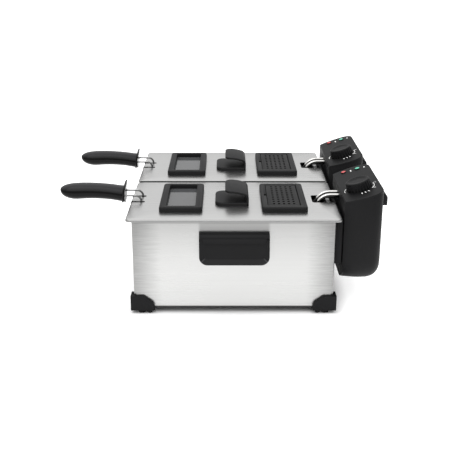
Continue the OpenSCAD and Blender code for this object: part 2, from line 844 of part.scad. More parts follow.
// Sections of the grip from the guard to the tip:
// share of the length, top and bottom above the wires, half width
grip_sections = [
    [0.00, 9.6, -11.2, 16.8], [0.10, 10.9, -10.4, 16.6], [0.25, 12.9, -8.8, 16.2],
    [0.45, 14.3, -7.6, 16.2], [0.62, 14.6, -7.6, 16.6], [0.77, 14.0, -8.4, 16.4],
    [0.87, 12.4, -6.2, 14.6], [0.94, 10.4, -3.0, 11.4], [0.98, 8.6, 0.0, 7.2],
    [1.00, 6.8, 2.6, 3.0]];
grip_sides = 28;

// Ring of points round one section, a rounded oval
function grip_ring(s) = [for (i = [0:grip_sides - 1])
    let(a = 360 * i / grip_sides, mid = (s[1] + s[2]) / 2, half = (s[1] - s[2]) / 2)
    [grip_inner - 2 - s[0] * (grip_length - 2),
     s[3] * sign(cos(a)) * pow(abs(cos(a)), 0.85),
     wire_z + mid + half * sign(sin(a)) * pow(abs(sin(a)), 0.85)]];

module grip_body() {
    n = grip_sides;
    last = len(grip_sections) - 1;
    points = [for (s = grip_sections) each grip_ring(s)];
    sides = [for (k = [0:last - 1], i = [0:n - 1]) let(j = (i + 1) % n)
        each [[k * n + i, k * n + j, (k + 1) * n + j], [k * n + i, (k + 1) * n + j, (k + 1) * n + i]]];
    polyhedron(points, concat([[for (i = [0:n - 1]) n - 1 - i]], sides,
                              [[for (i = [0:n - 1]) last * n + i]]));
}

module handle_grip(side) {
    guard_z = 33;
    guard_y = 40;
    guard_thick = 2.6;
    color("#232324") unit(side) translate([0, tank_shift, 0]) difference() {
        union() {
            grip_body();
            translate([grip_inner - 2.6, 0, wire_z + 1.3]) rotate([0, guard_tilt, 0])
                rotate([0, 90, 0]) linear_extrude(guard_thick, center = true)
                    rounded_rect(guard_z, guard_y, 14);
        }
        for (j = [-1, 1])
            rod_x(grip_inner + 8, grip_inner - grip_bore, j * wire_gap / 2, wire_z,
                  wire_r + 0.05);
    }
}

// ---- control heads ----

panel_drop = panel_thick / cos(panel_slope);
plate_thick = 2.4;
reset_y = 30;
reset_z = 118;
gland_z = 90;
gland_r = 6;

// Moves a piece onto the panel: u outwards from its inner edge, v along it, h above it
module on_panel(u, v, h) {
    translate([head_inner, 0, panel_low]) rotate([0, -panel_slope, 0])
        translate([u, v, h]) children();
}

// Distance from a head's inner face to where its bowed sides stand out most
bow_x = 31.9;

// Plan of a head: a block with bowed sides, drawn in by an inset
module head_plan(inset) {
    bow = head_bow - inset;
    start = inset > 0 ? overlap : 0;
    intersection() {
        union() {
            translate([head_inner - start, -head_y / 2 + inset])
                square([head_x - head_corner + start, head_y - 2 * inset]);
            translate([head_inner - start, -head_y / 2 + head_corner])
                square([head_x - inset + start, head_y - 2 * head_corner]);
            for (j = [-1, 1])
                translate([head_outer - head_corner, j * (head_y / 2 - head_corner)])
                    circle(head_corner - inset);
        }
        union() {
            for (j = [-1, 1]) translate([head_inner + bow_x, j * (head_y / 2 - head_bow)])
                circle(bow, $fn = 96);
            translate([head_inner - overlap, -8]) square([head_x + 2 * overlap, 16]);
        }
    }
}

// Side outline of a head under the panel, drawn in by an inset
module head_outline(inset, drop) {
    start = inset > 0 ? overlap : 0;
    tall = panel_high - head_bottom;
    intersection() {
        union() {
            translate([head_inner - start, head_bottom + inset])
                square([head_x - head_toe + start, tall + 2 * overlap]);
            translate([head_inner - start, head_bottom + head_toe])
                square([head_x - inset + start, tall]);
            translate([head_outer - head_toe, head_bottom + head_toe])
                circle(head_toe - inset, $fn = 72);
        }
        polygon([[head_inner - start, 0], [head_outer, 0], [head_outer, panel_high - drop],
                 [head_inner - start, panel_low - drop - start * tan(panel_slope)]]);
    }
}

module head_form(inset, drop) {
    tall = panel_high - head_bottom;
    intersection() {
        linear_extrude(panel_high + 2 * overlap) head_plan(inset);
        translate([0, head_y / 2, 0]) rotate([90, 0, 0]) linear_extrude(head_y)
            head_outline(inset, drop);
        translate([head_inner - overlap, 0, 0]) rotate([90, 0, 90])
            linear_extrude(head_x + 2 * overlap)
                translate([0, panel_high + 2 * overlap]) mirror([0, 1])
                    arch_rect(head_y - 2 * inset, tall + 2 * overlap - inset, head_heel - inset);
    }
}

// Block of the ledge behind the head, to lift it by
module ledge_form(inset) {
    width = ledge_y - 2 * inset;
    out = ledge_x - inset;
    below = inset > 0 ? overlap : 0;
    translate([head_outer, width / 2, lid_top + ledge_lift]) rotate([90, 0, 0])
        linear_extrude(width)
            polygon([[0, -below], [out, -below], [out, ledge_lip - inset],
                     [0, ledge_h - 1.4 * inset]]);
}

module lift_ledge(side) {
    color("#29292a") unit(side) difference() {
        ledge_form(0);
        ledge_form(head_wall);
    }
}

module head_body(side) {
    color("#29292a") unit(side) difference() {
        head_form(0, panel_drop);
        head_form(head_wall, 0);
        rod_x(head_outer - 2 * head_wall, head_outer + overlap, reset_y, reset_z,
              reset_d / 2 + 0.1);
        rod_x(head_outer - 2 * head_wall, head_outer + overlap, 0, gland_z, gland_r + 0.05);
    }
}

module head_plate(side) {
    play = 0.2;
    color("#3a3a3b") unit(side) difference() {
        union() {
            intersection() {
                head_form(head_wall + play, panel_drop + play);
                translate([head_inner, -head_y / 2, head_bottom])
                    cube([plate_thick, head_y, panel_high]);
            }
            translate([case_x / 2, 0, rail_top - tongue_depth])
                linear_extrude(tongue_depth - 2) tee(tongue_clear);
        }
        for (j = [-1, 1])
            rod_x(head_inner - overlap, head_inner + 2 * plate_thick, tank_shift + j * leg_gap / 2,
                  tube_z, tube_r + 0.05);
        rod_x(head_inner - overlap, head_inner + 2 * plate_thick, tank_shift, probe_z, capillary_r + 0.05);
    }
}

module control_panel(side) {
    color("#2e2e2f") unit(side) difference() {
        intersection() {
            linear_extrude(panel_high + overlap) head_plan(0);
            translate([0, head_y / 2, 0]) rotate([90, 0, 0]) linear_extrude(head_y)
                polygon([[head_inner, panel_low - panel_drop], [head_outer, panel_high - panel_drop],
                         [head_outer, panel_high], [head_inner, panel_low]]);
        }
        on_panel(knob_u, -knob_v, -2 * panel_thick) cylinder(h = 4 * panel_thick, r = shaft_r + 0.5);
        for (lamp = lamp_places)
            on_panel(lamp[0], lamp[1], -2 * panel_thick)
                cylinder(h = 4 * panel_thick, r = lamp_d / 2 + 0.05);
    }
}

thermostat_size = 30;
thermostat_h = 20;
shaft_depth = 14;

module thermostat(side) {
    color("#c8c4b8") unit(side) difference() {
        on_panel(knob_u - thermostat_size / 2, -knob_v - thermostat_size / 2,
                 -panel_thick - thermostat_h)
            cube([thermostat_size, thermostat_size, thermostat_h]);
        on_panel(knob_u, -knob_v, -panel_thick - shaft_depth)
            cylinder(h = thermostat_h, r = shaft_r + shaft_clear);
    }
}

module knob(side) {
    rim = knob_d / 2;
    color("#262627") unit(side) on_panel(knob_u, -knob_v, 0) {
        translate([0, 0, -panel_thick - shaft_depth]) cylinder(h = shaft_depth + knob_h / 2, r = shaft_r);
        difference() {
            translate([0, 0, 0.5]) rotate_extrude($fn = 72)
                polygon([[0, 0], [rim, 0], [rim, 2.5], [rim - 0.8, 3], [rim - 1.4, knob_h - 2.5],
                         [rim - 2.4, knob_h - 1], [rim - 4.5, knob_h - 0.5], [0, knob_h - 0.5]]);
            for (i = [0:knob_flutes - 1])
                rotate([0, 0, 360 * i / knob_flutes]) translate([rim - 0.4, 0, 4])
                    cylinder(h = knob_h, r = 1.1, $fn = 16);
            // pointer groove across the top
            translate([-0.8, rim / 3, knob_h - 1]) cube([1.6, rim, knob_h]);
        }
    }
}

lamp_places = [[16, 63.5], [38, 61.5]];

module lamp(place, paint, side) {
    dome = 1.2;
    ball = (pow(lamp_d / 2, 2) + dome * dome) / (2 * dome);
    color(paint) unit(side) on_panel(place[0], place[1], 0) {
        translate([0, 0, -8]) cylinder(h = 8.6, r = lamp_d / 2);
        intersection() {
            translate([0, 0, 0.6 + dome - ball]) sphere(ball, $fn = 72);
            translate([0, 0, 0.5]) cylinder(h = 4, r = lamp_d / 2);
        }
    }
}

module reset_button(side) {
    color("#141414") unit(side) {
        rod_x(head_outer - head_wall - 5, head_outer + reset_travel + 1, reset_y, reset_z,
              reset_d / 2);
        rod_x(head_outer - head_wall - 1.5, head_outer - head_wall, reset_y, reset_z,
              reset_d / 2 + 2);
    }
}

module cord_gland(side) {
    color("#1b1b1b") unit(side) difference() {
        union() {
            rod_x(head_outer, head_outer + 3, 0, gland_z, gland_r + 3);
            rod_x(head_outer - head_wall - 5, head_outer + 1, 0, gland_z, gland_r);
        }
        rod_x(head_outer - 4 * head_wall, head_outer + 4, 0, gland_z, gland_bore / 2);
    }
}

// ---- one line for each piece ----

case();
base_plate();
foot_guards();
foot_pads();
guide_blocks();
carry_handles();
lid(-1);  // lid_front
lid(1);  // lid_rear
window_frame(-1);  // window_frame_front
window_frame(1);  // window_frame_rear
window_glass(-1);  // window_glass_front
window_glass(1);  // window_glass_rear
lid_handle(-1);  // lid_handle_front
lid_handle(1);  // lid_handle_rear
vent_base(-1);  // vent_base_front
vent_base(1);  // vent_base_rear
vent_grille(-1);  // vent_grille_front
vent_grille(1);  // vent_grille_rear
vent_filter(-1);  // vent_filter_front
vent_filter(1);  // vent_filter_rear
tank(-1);  // tank_front
tank(1);  // tank_rear
heating_element(-1);  // heating_element_front
heating_element(1);  // heating_element_rear
thermostat_probe(-1);  // thermostat_probe_front
thermostat_probe(1);  // thermostat_probe_rear
basket_floor(-1);  // basket_floor_front
basket_floor(1);  // basket_floor_rear
basket_sides(-1);  // basket_sides_front
basket_sides(1);  // basket_sides_rear
basket_ends(-1);  // basket_ends_front
basket_ends(1);  // basket_ends_rear
basket_rim(-1);  // basket_rim_front
basket_rim(1);  // basket_rim_rear
basket_frame(-1);  // basket_frame_front
basket_frame(1);  // basket_frame_rear
handle_wires(-1);  // handle_wires_front
handle_wires(1);  // handle_wires_rear
handle_grip(-1);  // handle_grip_front
handle_grip(1);  // handle_grip_rear
head_body(-1);  // head_body_front
head_body(1);  // head_body_rear
lift_ledge(-1);  // lift_ledge_front
lift_ledge(1);  // lift_ledge_rear
head_plate(-1);  // head_plate_front
head_plate(1);  // head_plate_rear
control_panel(-1);  // control_panel_front
control_panel(1);  // control_panel_rear
thermostat(-1);  // thermostat_front
thermostat(1);  // thermostat_rear
knob(-1);  // knob_front
knob(1);  // knob_rear
lamp(lamp_places[0], "red", -1);  // lamp_red_front
lamp(lamp_places[0], "red", 1);  // lamp_red_rear
lamp(lamp_places[1], "seagreen", -1);  // lamp_green_front
lamp(lamp_places[1], "seagreen", 1);  // lamp_green_rear
reset_button(-1);  // reset_button_front
reset_button(1);  // reset_button_rear
cord_gland(-1);  // cord_gland_front
cord_gland(1);  // cord_gland_rear
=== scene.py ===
import math

import bmesh
import bpy
from mathutils import Matrix, Vector


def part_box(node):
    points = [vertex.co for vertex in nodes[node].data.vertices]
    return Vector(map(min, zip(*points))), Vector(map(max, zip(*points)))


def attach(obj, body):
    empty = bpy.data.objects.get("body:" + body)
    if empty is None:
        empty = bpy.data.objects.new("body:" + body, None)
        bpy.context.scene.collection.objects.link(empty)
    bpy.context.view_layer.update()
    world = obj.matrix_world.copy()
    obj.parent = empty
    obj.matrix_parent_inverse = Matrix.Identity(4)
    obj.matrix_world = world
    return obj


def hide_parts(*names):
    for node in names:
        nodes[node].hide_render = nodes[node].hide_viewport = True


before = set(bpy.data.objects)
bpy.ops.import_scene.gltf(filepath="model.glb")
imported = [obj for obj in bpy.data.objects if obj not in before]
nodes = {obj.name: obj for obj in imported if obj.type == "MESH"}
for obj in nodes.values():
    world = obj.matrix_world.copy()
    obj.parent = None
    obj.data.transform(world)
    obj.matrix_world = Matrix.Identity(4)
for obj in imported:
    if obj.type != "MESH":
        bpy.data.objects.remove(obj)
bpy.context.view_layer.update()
print("frame loaded:", len(nodes), "nodes")


# ---- places, all given in mm ----

def centreOf(node):
    low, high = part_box(node)
    return (low + high) / 2


caseMiddle = centreOf("case")
unitStep = Vector((0, centreOf("lid_rear").y - centreOf("lid_front").y, 0))
# tank and basket sit a little behind the lid's middle
wellShift = (centreOf("tank_front").y - centreOf("lid_front").y) * 1000


def fromCase(x, y, z):  # from the middle of the case, on the table
    return Vector((caseMiddle.x + x / 1000, caseMiddle.y + y / 1000, z / 1000))


def fromUnit(x, y, z):  # from the middle of the front unit
    return fromCase(x, y, z) - unitStep / 2


def fromWell(x, y, z):  # from the middle of the front tank
    return fromUnit(x, y + wellShift, z)


# ---- modelling steps ----

def letGo():
    if bpy.context.object and bpy.context.object.mode != "OBJECT":
        bpy.ops.object.mode_set(mode="OBJECT")
    bpy.ops.object.select_all(action="DESELECT")


def hold(*pieces):
    letGo()
    for piece in pieces:
        piece.select_set(True)
    bpy.context.view_layer.objects.active = pieces[0]


def settle(name):  # names what was just added and puts its place in its mesh
    piece = bpy.context.object
    piece.name = piece.data.name = name
    bpy.ops.object.transform_apply(location=True, rotation=True, scale=True)
    return piece


def block(name, low, high):
    letGo()
    bpy.ops.mesh.primitive_cube_add(size=1, location=(low + high) / 2, scale=high - low)
    return settle(name)


def drum(name, centre, radius, depth, sides, turn=(0, 0, 0)):
    letGo()
    bpy.ops.mesh.primitive_cylinder_add(vertices=sides, radius=radius / 1000, depth=depth / 1000,
                                        location=centre, rotation=turn)
    return settle(name)


def middle(part):
    return sum((corner.co for corner in part.verts), Vector()) / len(part.verts)


def runs(edge, axis):  # the edge lies along an axis
    span = edge.verts[1].co - edge.verts[0].co
    return abs(span[axis]) > 0.95 * span.length


def level(part, axis, value):  # all of the part lies at one value of an axis
    return all(abs(corner.co[axis] - value) < 2e-5 for corner in part.verts)


def sharp(edge, least=0.5):
    return edge.is_manifold and edge.calc_face_angle(0) > least


def pick(piece, kind, test):  # opens the piece with the chosen parts selected
    hold(piece)
    bpy.ops.object.mode_set(mode="EDIT")
    bpy.ops.mesh.select_mode(type=kind)
    bpy.ops.mesh.select_all(action="DESELECT")
    shape = bmesh.from_edit_mesh(piece.data)
    shape.normal_update()
    parts = {"VERT": shape.verts, "EDGE": shape.edges, "FACE": shape.faces}[kind]
    for part in [part for part in parts if test(part)]:
        part.select_set(True)
    shape.select_flush_mode()
    bmesh.update_edit_mesh(piece.data)


def soften(piece, test, width, steps=3):
    pick(piece, "EDGE", test)
    bpy.ops.mesh.bevel(offset=width / 1000, segments=steps, affect="EDGES")
    letGo()


def remove(piece, test):
    pick(piece, "FACE", test)
    bpy.ops.mesh.delete(type="FACE")
    letGo()


def cut(piece, point, normal, off=True):  # what lies past a plane comes off, or only a line is drawn
    pick(piece, "VERT", lambda vert: True)
    bpy.ops.mesh.bisect(plane_co=point, plane_no=normal, use_fill=off, clear_outer=off)
    letGo()


def clean(piece):  # merges doubles and joins faces that lie in one plane
    pick(piece, "VERT", lambda vert: True)
    bpy.ops.mesh.remove_doubles(threshold=2e-6)
    bpy.ops.mesh.dissolve_limited(angle_limit=math.radians(0.6))
    letGo()


def outwards(piece):
    pick(piece, "FACE", lambda face: True)
    bpy.ops.mesh.normals_make_consistent(inside=False)
    letGo()


def extrude(shift):
    bpy.ops.mesh.extrude_region_move(TRANSFORM_OT_translate={"value": shift})


def stretch(scale, about):
    bpy.ops.transform.resize(value=scale, center_override=about)


def openRing(name, sides, radius, centre, turn):  # a ring in edit mode, all of it selected
    letGo()
    bpy.ops.mesh.primitive_circle_add(vertices=sides, radius=radius / 1000, location=centre, rotation=turn)
    piece = settle(name)
    pick(piece, "VERT", lambda vert: True)
    return piece


def closeEnds(piece):
    bpy.ops.mesh.select_all(action="DESELECT")
    bpy.ops.mesh.select_mode(type="EDGE")
    bpy.ops.mesh.select_non_manifold()
    bpy.ops.mesh.edge_face_add()
    outwards(piece)


def finishWith(piece, kind, **settings):
    hold(piece)
    change = piece.modifiers.new(kind, kind)
    for key, value in settings.items():
        setattr(change, key, value)
    bpy.ops.object.modifier_apply(modifier=change.name)


def thicken(piece, wall, even=True):
    finishWith(piece, "SOLIDIFY", thickness=wall / 1000, offset=-1, use_even_offset=even)


def softEdges(piece, width, steps=2, angle=40):
    finishWith(piece, "BEVEL", width=width / 1000, segments=steps, limit_method="ANGLE",
               angle_limit=math.radians(angle), use_clamp_overlap=True)


def carve(piece, *cutters):
    for cutter in cutters:
        finishWith(piece, "BOOLEAN", object=cutter, operation="DIFFERENCE", solver="EXACT")
        bpy.data.objects.remove(cutter, do_unlink=True)


def repeat(piece, count, step):
    finishWith(piece, "ARRAY", count=count, use_relative_offset=False, use_constant_offset=True,
               constant_offset_displace=step)


def join(name, *pieces):
    hold(*pieces)
    bpy.ops.object.join()
    return settle(name)


def copyOf(piece, name, shift=(0, 0, 0), scale=(1, 1, 1), about=(0, 0, 0)):
    hold(piece)
    bpy.ops.object.duplicate(linked=False)
    stretch(scale, about)
    bpy.ops.transform.translate(value=shift)
    other = settle(name)
    if scale[0] * scale[1] * scale[2] < 0:
        outwards(other)
    return other


def roundBlock(name, low, high, corner, edge=0, steps=6, soft=3):
    piece = block(name, low, high)
    if corner:
        soften(piece, lambda line: runs(line, 2), corner, steps)
    if edge:
        soften(piece, lambda line: level(line, 2, high.z), edge, soft)
    return piece


def bendTube(name, start, heading, radius, moves, sides, closed=False):
    # a ring is drawn along the moves: a number runs on, (axis, degrees, radius) bends
    here, heading = start.copy(), Vector(heading)
    piece = openRing(name, sides, radius, here, heading.to_track_quat("Z", "Y").to_euler())
    for move in moves:
        if isinstance(move, tuple):
            axis, degrees, bend = Vector(move[0]), move[1], move[2] / 1000
            centre = here + bend * axis.cross(heading)
            bpy.ops.mesh.spin(steps=max(2, round(degrees / 15)), angle=-math.radians(degrees),
                              center=centre, axis=axis)
            turn = Matrix.Rotation(math.radians(degrees), 3, axis)
            here, heading = centre + turn @ (here - centre), turn @ heading
        else:
            extrude(heading * move / 1000)
            here = here + heading * move / 1000
    if closed:
        bpy.ops.mesh.select_all(action="SELECT")
        bpy.ops.mesh.remove_doubles(threshold=2e-5)
        outwards(piece)
    else:
        closeEnds(piece)
    return piece


def solidCopy(node, name, width):  # a CAD node with softened edges
    piece = bpy.data.objects.new(name, nodes[node].data.copy())
    piece.data.name = name
    piece.data.materials.clear()
    bpy.context.scene.collection.objects.link(piece)
    clean(piece)
    softEdges(piece, width)
    return piece


# ---- finishes ----

class Amount:
    # a value that changes over a surface, so that maths on it reads as maths
    def __init__(self, finish, socket):
        self.finish, self.socket = finish, socket

    def __add__(self, other):
        return self.finish.maths("ADD", self, other)

    def __sub__(self, other):
        return self.finish.maths("SUBTRACT", self, other)

    def __rsub__(self, other):
        return self.finish.maths("SUBTRACT", other, self)

    def __mul__(self, other):
        return self.finish.maths("MULTIPLY", self, other)

    def __gt__(self, other):
        return self.finish.maths("GREATER_THAN", self, other)

    def __lt__(self, other):
        return self.finish.maths("LESS_THAN", self, other)

    __radd__, __rmul__ = __add__, __mul__


class Finish:
    def __init__(self, name, **fixed):
        self.material = bpy.data.materials.new(name)
        self.material.use_nodes = True
        self.tree = self.material.node_tree
        self.shader = self.tree.nodes["Principled BSDF"]
        for key, value in fixed.items():
            self.feed(value, self.shader.inputs[key.replace("_", " ")])
        self.place = self.add("ShaderNodeTexCoord", out="Object")

    def feed(self, value, socket):
        if isinstance(value, Amount):
            self.tree.links.new(value.socket, socket)
        else:
            socket.default_value = value

    def add(self, kind, settings=None, values=None, out=0):
        node = self.tree.nodes.new(kind)
        for key, value in (settings or {}).items():
            if key == "stops":
                for stop, (position, shade) in zip(node.color_ramp.elements, value):
                    stop.position, stop.color = position, (shade, shade, shade, 1)
            else:
                setattr(node, key, value)
        for key, value in (values or {}).items():
            self.feed(value, node.inputs[key])
        return Amount(self, node.outputs[out])

    def maths(self, operation, *values):
        return self.add("ShaderNodeMath", {"operation": operation}, dict(enumerate(values)))

    def stretched(self, *scale):
        return self.add("ShaderNodeMapping", values={"Vector": self.place, "Scale": scale})

    def noise(self, place, scale, detail=2, roughness=0.5):
        return self.add("ShaderNodeTexNoise", values={"Vector": place, "Scale": scale, "Detail": detail,
                                                      "Roughness": roughness})

    def spread(self, amount, low, high):  # a soft step between two values of an amount, both within 0 to 1
        return self.add("ShaderNodeValToRGB", {"stops": ((low, 0), (high, 1))}, {0: amount})

    def tint(self, mask, first, second):  # the first colour may itself vary, the second is plain
        if not isinstance(first, Amount):
            first = (*first, 1)
        return self.add("ShaderNodeMix", {"data_type": "RGBA"}, {0: mask, 6: first, 7: (*second, 1)}, out=2)

    def either(self, mask, first, second):
        return self.add("ShaderNodeMix", {"data_type": "VECTOR"}, {0: mask, 4: first, 5: second}, out=1)

    def along(self, axis):
        return self.add("ShaderNodeSeparateXYZ", values={0: self.place}, out=axis)

    def distance(self, axis, place):  # how far a point lies from a place along an axis, in metres
        return self.maths("ABSOLUTE", self.along(axis) - place)

    def facing(self, *way):  # 1 where the surface faces a way, -1 where it faces against it
        normal = self.add("ShaderNodeNewGeometry", out="Normal")
        return self.add("ShaderNodeVectorMath", {"operation": "DOT_PRODUCT"}, {0: normal, 1: way}, "Value")

    def dress(self, colour, roughness, height=None, depth=0.02, strength=0.5):
        self.feed(colour, self.shader.inputs["Base Color"])
        self.feed(roughness, self.shader.inputs["Roughness"])
        if height is not None:
            bump = self.add("ShaderNodeBump", values={"Height": height, "Distance": depth / 1000,
                                                      "Strength": strength})
            self.feed(bump, self.shader.inputs["Normal"])
        return self.material


def scaled(tone, factor):
    return [part * factor for part in tone]


def brushedSteel(name, tone, gloss, shadedEnds=None, shade=None, seamShade=None):
    # fine lines run along the case on its walls and on the lids
    finish = Finish(name, Metallic=1.0)
    isTop = finish.facing(0, 0, 1) > 0.6
    fineLines = finish.either(isTop, finish.stretched(5, 5, 900), finish.stretched(5, 900, 900))
    broadLines = finish.either(isTop, finish.stretched(3, 3, 260), finish.stretched(3, 260, 260))
    fine = finish.noise(fineLines, 1, 3, 0.6)
    broad = finish.noise(broadLines, 1, 2)
    cloud = finish.noise(finish.place, 9, 2)
    lines = finish.spread(fine * 0.5 + broad * 0.3 + cloud * 0.2, 0.3, 0.7)
    colour = finish.tint(lines, scaled(tone, 0.96), scaled(tone, 1.03))
    # to keep within 0 to 1, metres times 5 meet mm over 200, and metres times 10 meet mm over 100
    if shadedEnds:  # painted shade: it is darker towards its bent ends, where less light falls on it
        start, stop, level = shadedEnds
        streaks = finish.noise(finish.stretched(40, 40, 1100), 1, 3, 0.7)
        reach = finish.distance("X", caseMiddle.x) + (streaks - 0.5) * 0.035
        endShade = finish.spread(reach * 5, start / 200, stop / 200)
        colour = finish.tint(endShade * level, colour, scaled(tone, 0.3))
    if shade:  # painted shade: dark above the carry handles and close under the lids
        place, half, low, (lidLow, lidHigh) = shade
        beside = finish.spread(finish.distance("X", place) * 10 + (broad - 0.5) * 0.01, half / 100 - 0.02,
                               half / 100 + 0.02)
        height = finish.along("Z") * 5
        over = finish.spread(height, low / 200, low / 200 + 0.015)
        near = 1 - finish.spread(height, low / 200, low / 200 + 0.08)
        underLid = finish.spread(height, lidLow / 200, lidHigh / 200)
        colour = finish.tint((1 - beside) * over * (near * 0.4 + 0.4), colour, scaled(tone, 0.45))
        colour = finish.tint(underLid * 0.6, colour, scaled(tone, 0.3))
    if seamShade:  # painted shade: the rims of the lids are darker, and the gap between the two is black
        gap = finish.distance("Y", caseMiddle.y) < seamShade / 1000
        colour = finish.tint((finish.facing(0, 0, 1) < 0.97) * 0.95, colour, scaled(tone, 0.4))
        colour = finish.tint(gap * (finish.facing(0, 0, 1) < 0.93) * 0.96, colour, (0.005, 0.005, 0.005))
    return finish.dress(colour, (fine - 0.5) * 0.16 + (cloud - 0.5) * 0.12 + gloss, fine + broad * 0.3,
                        0.02, 0.35)


def pressedSteel(name, tone, gloss):
    # plain sheet with a faint rolled texture and oil haze
    finish = Finish(name, Metallic=1.0)
    haze = finish.noise(finish.place, 14, 3)
    grain = finish.noise(finish.stretched(220, 40, 220), 1, 2)
    colour = finish.tint(haze, scaled(tone, 0.86), tone)
    return finish.dress(colour, (haze - 0.5) * 0.2 + (grain - 0.5) * 0.1 + gloss, grain + haze, 0.04, 0.25)


def brightMetal(name, tone, gloss, dark):
    # plated wire and tube: a painted highlight where it faces up and outwards, painted shade round its sides
    finish = Finish(name, Metallic=1.0)
    haze = finish.noise(finish.place, 60, 2)
    ripple = finish.noise(finish.place, 420, 1)
    paintedHighlight = finish.spread(finish.facing(-0.64, 0, 0.77) + (haze - 0.5) * 0.06, 0.42, 0.7)
    colour = finish.tint(paintedHighlight, scaled(tone, dark), tone)
    return finish.dress(colour, (haze - 0.5) * 0.16 + gloss, ripple, 0.015, 0.3)


def mouldedPlastic(name, tone, gloss, shine, grain=0.03, grainScale=1500):
    # spark-eroded moulding: a fine even grain, slightly uneven gloss
    finish = Finish(name, Specular_IOR_Level=shine)
    pits = finish.noise(finish.place, grainScale, 2, 0.6)
    sheen = finish.noise(finish.place, 22, 3)
    colour = finish.tint(finish.spread(sheen * 0.6 + pits * 0.4, 0.3, 0.7), scaled(tone, 0.85),
                         scaled(tone, 1.2))
    return finish.dress(colour, (sheen - 0.5) * 0.14 + (pits - 0.5) * 0.1 + gloss, pits, grain, 0.5)


def glossyPlastic(name, dark, highlightTone, gloss, shine):
    # a gloss with a painted highlight: a soft light is painted along the top
    finish = Finish(name, Specular_IOR_Level=shine)
    sheen = finish.noise(finish.place, 22, 3)
    pits = finish.noise(finish.place, 1500, 2)
    top = finish.spread(finish.facing(0, 0, 1) + (sheen - 0.5) * 0.1, 0.45, 1.0)
    return finish.dress(finish.tint(top, dark, highlightTone), (sheen - 0.5) * 0.08 + gloss, pits, 0.01, 0.3)


def tintedGlass(name, tone, gloss):
    finish = Finish(name, Alpha=0.9, Specular_IOR_Level=0.5)
    haze = finish.noise(finish.place, 30, 3)
    return finish.dress(finish.tint(haze, scaled(tone, 0.85), tone), (haze - 0.5) * 0.06 + gloss, haze,
                        0.01, 0.1)


def wovenMesh(name, tone, pitch):
    # crossed wires of a filter mat
    finish = Finish(name, Metallic=0.85)
    turns = 2 * math.pi / (pitch / 1000)
    weave = (finish.maths("SINE", finish.along("X") * turns) * finish.maths("SINE", finish.along("Y") * turns)
             * 0.5 + 0.5)
    return finish.dress(finish.tint(weave, scaled(tone, 0.25), tone), weave * -0.15 + 0.6, weave, 0.3, 0.8)


def lampLens(name, tone, glow):
    finish = Finish(name, Coat_Weight=0.6, Coat_Roughness=0.08, Specular_IOR_Level=0.5,
                    Emission_Color=(*tone, 1), Emission_Strength=glow)
    ribs = finish.noise(finish.place, 500, 1)
    return finish.dress(finish.tint(ribs, scaled(tone, 0.7), tone), (ribs - 0.5) * 0.1 + 0.2, ribs, 0.05, 0.3)


def printedPaint(name, tone):
    finish = Finish(name, Specular_IOR_Level=0.3)
    wear = finish.noise(finish.place, 900, 2)
    return finish.dress(finish.tint(wear, scaled(tone, 0.85), tone), (wear - 0.5) * 0.1 + 0.5, wear,
                        0.01, 0.2)


finishes = {
    "case_steel": brushedSteel("caseSteel", (0.46, 0.46, 0.455), 0.3, shadedEnds=(105, 150, 0.75),
                               shade=(caseMiddle.x + 0.0008, 49.7, 124, (137.2, 139))),
    "lid_steel": brushedSteel("lidSteel", (0.62, 0.62, 0.615), 0.3, seamShade=4.1),
    "tank_steel": pressedSteel("tankSteel", (0.4, 0.4, 0.4), 0.35),
    "base_steel": pressedSteel("baseSteel", (0.06, 0.06, 0.06), 0.5),
    "bright_tube": brightMetal("brightTube", (0.72, 0.71, 0.69), 0.2, 0.08),
    "bright_wire": brightMetal("brightWire", (0.7, 0.7, 0.7), 0.2, 0.2),
    "thermostat_case": brightMetal("thermostatCase", (0.55, 0.5, 0.4), 0.35, 0.25),
    "black_plastic": mouldedPlastic("blackPlastic", (0.007, 0.007, 0.0075), 0.5, 0.11),
    "grey_plastic": mouldedPlastic("greyPlastic", (0.0085, 0.0085, 0.009), 0.5, 0.14),
    "band_lit_plastic": mouldedPlastic("bandLitPlastic", (0.013, 0.013, 0.0135), 0.5, 0.12),
    "band_edge_highlight": mouldedPlastic("bandEdgeHighlight", (0.035, 0.035, 0.036), 0.5, 0.12),
    "knob_plastic": mouldedPlastic("knobPlastic", (0.005, 0.005, 0.0055), 0.42, 0.11),
    "soft_rubber": mouldedPlastic("softRubber", (0.02, 0.02, 0.02), 0.7, 0.25, 0.05, 900),
    "rubber_foot": mouldedPlastic("rubberFoot", (0.008, 0.008, 0.008), 0.75, 0.15, 0.06, 700),
    "grip_plastic": glossyPlastic("gripPlastic", (0.002, 0.002, 0.002), (0.03, 0.03, 0.032), 0.16, 0.12),
    "window_glass": tintedGlass("windowGlass", (0.085, 0.087, 0.09), 0.07),
    "filter_mesh": wovenMesh("filterMesh", (0.06, 0.06, 0.058), 1.6),
    "lamp_red": lampLens("lampRed", (0.55, 0.02, 0.02), 0.2),
    "lamp_green": lampLens("lampGreen", (0.04, 0.42, 0.27), 0.35),
    "white_print": printedPaint("whitePrint", (0.95, 0.95, 0.94)),
}
print("finishes ready:", len(finishes))

wholePieces = []
unitPieces = []


def paint(piece, slot):
    piece.data.materials.clear()
    piece.data.materials.append(finishes[slot])


def inlay(piece, slot, test):  # gives some faces a finish of their own
    pick(piece, "FACE", test)
    piece.data.materials.append(finishes[slot])
    piece.active_material_index = len(piece.data.materials) - 1
    bpy.ops.object.material_slot_assign()
    letGo()


def keep(piece, body, slot, stands, angle=35):
    # smooths and dresses a finished piece; stands lists the nodes that it takes the place of
    hold(piece)
    bpy.ops.object.shade_smooth_by_angle(angle=math.radians(angle))
    if not piece.data.materials:
        paint(piece, slot)
    home = unitPieces if body != "housing" else wholePieces
    home.append((piece, body, slot, stands))


# ---- case and base ----

caseSizes = {"corner": 5, "sheet": 1.2, "topEdge": 1.4, "tankHole": (141, 78.8), "holeCorner": 22.8,
             "cut": (136, 150)}


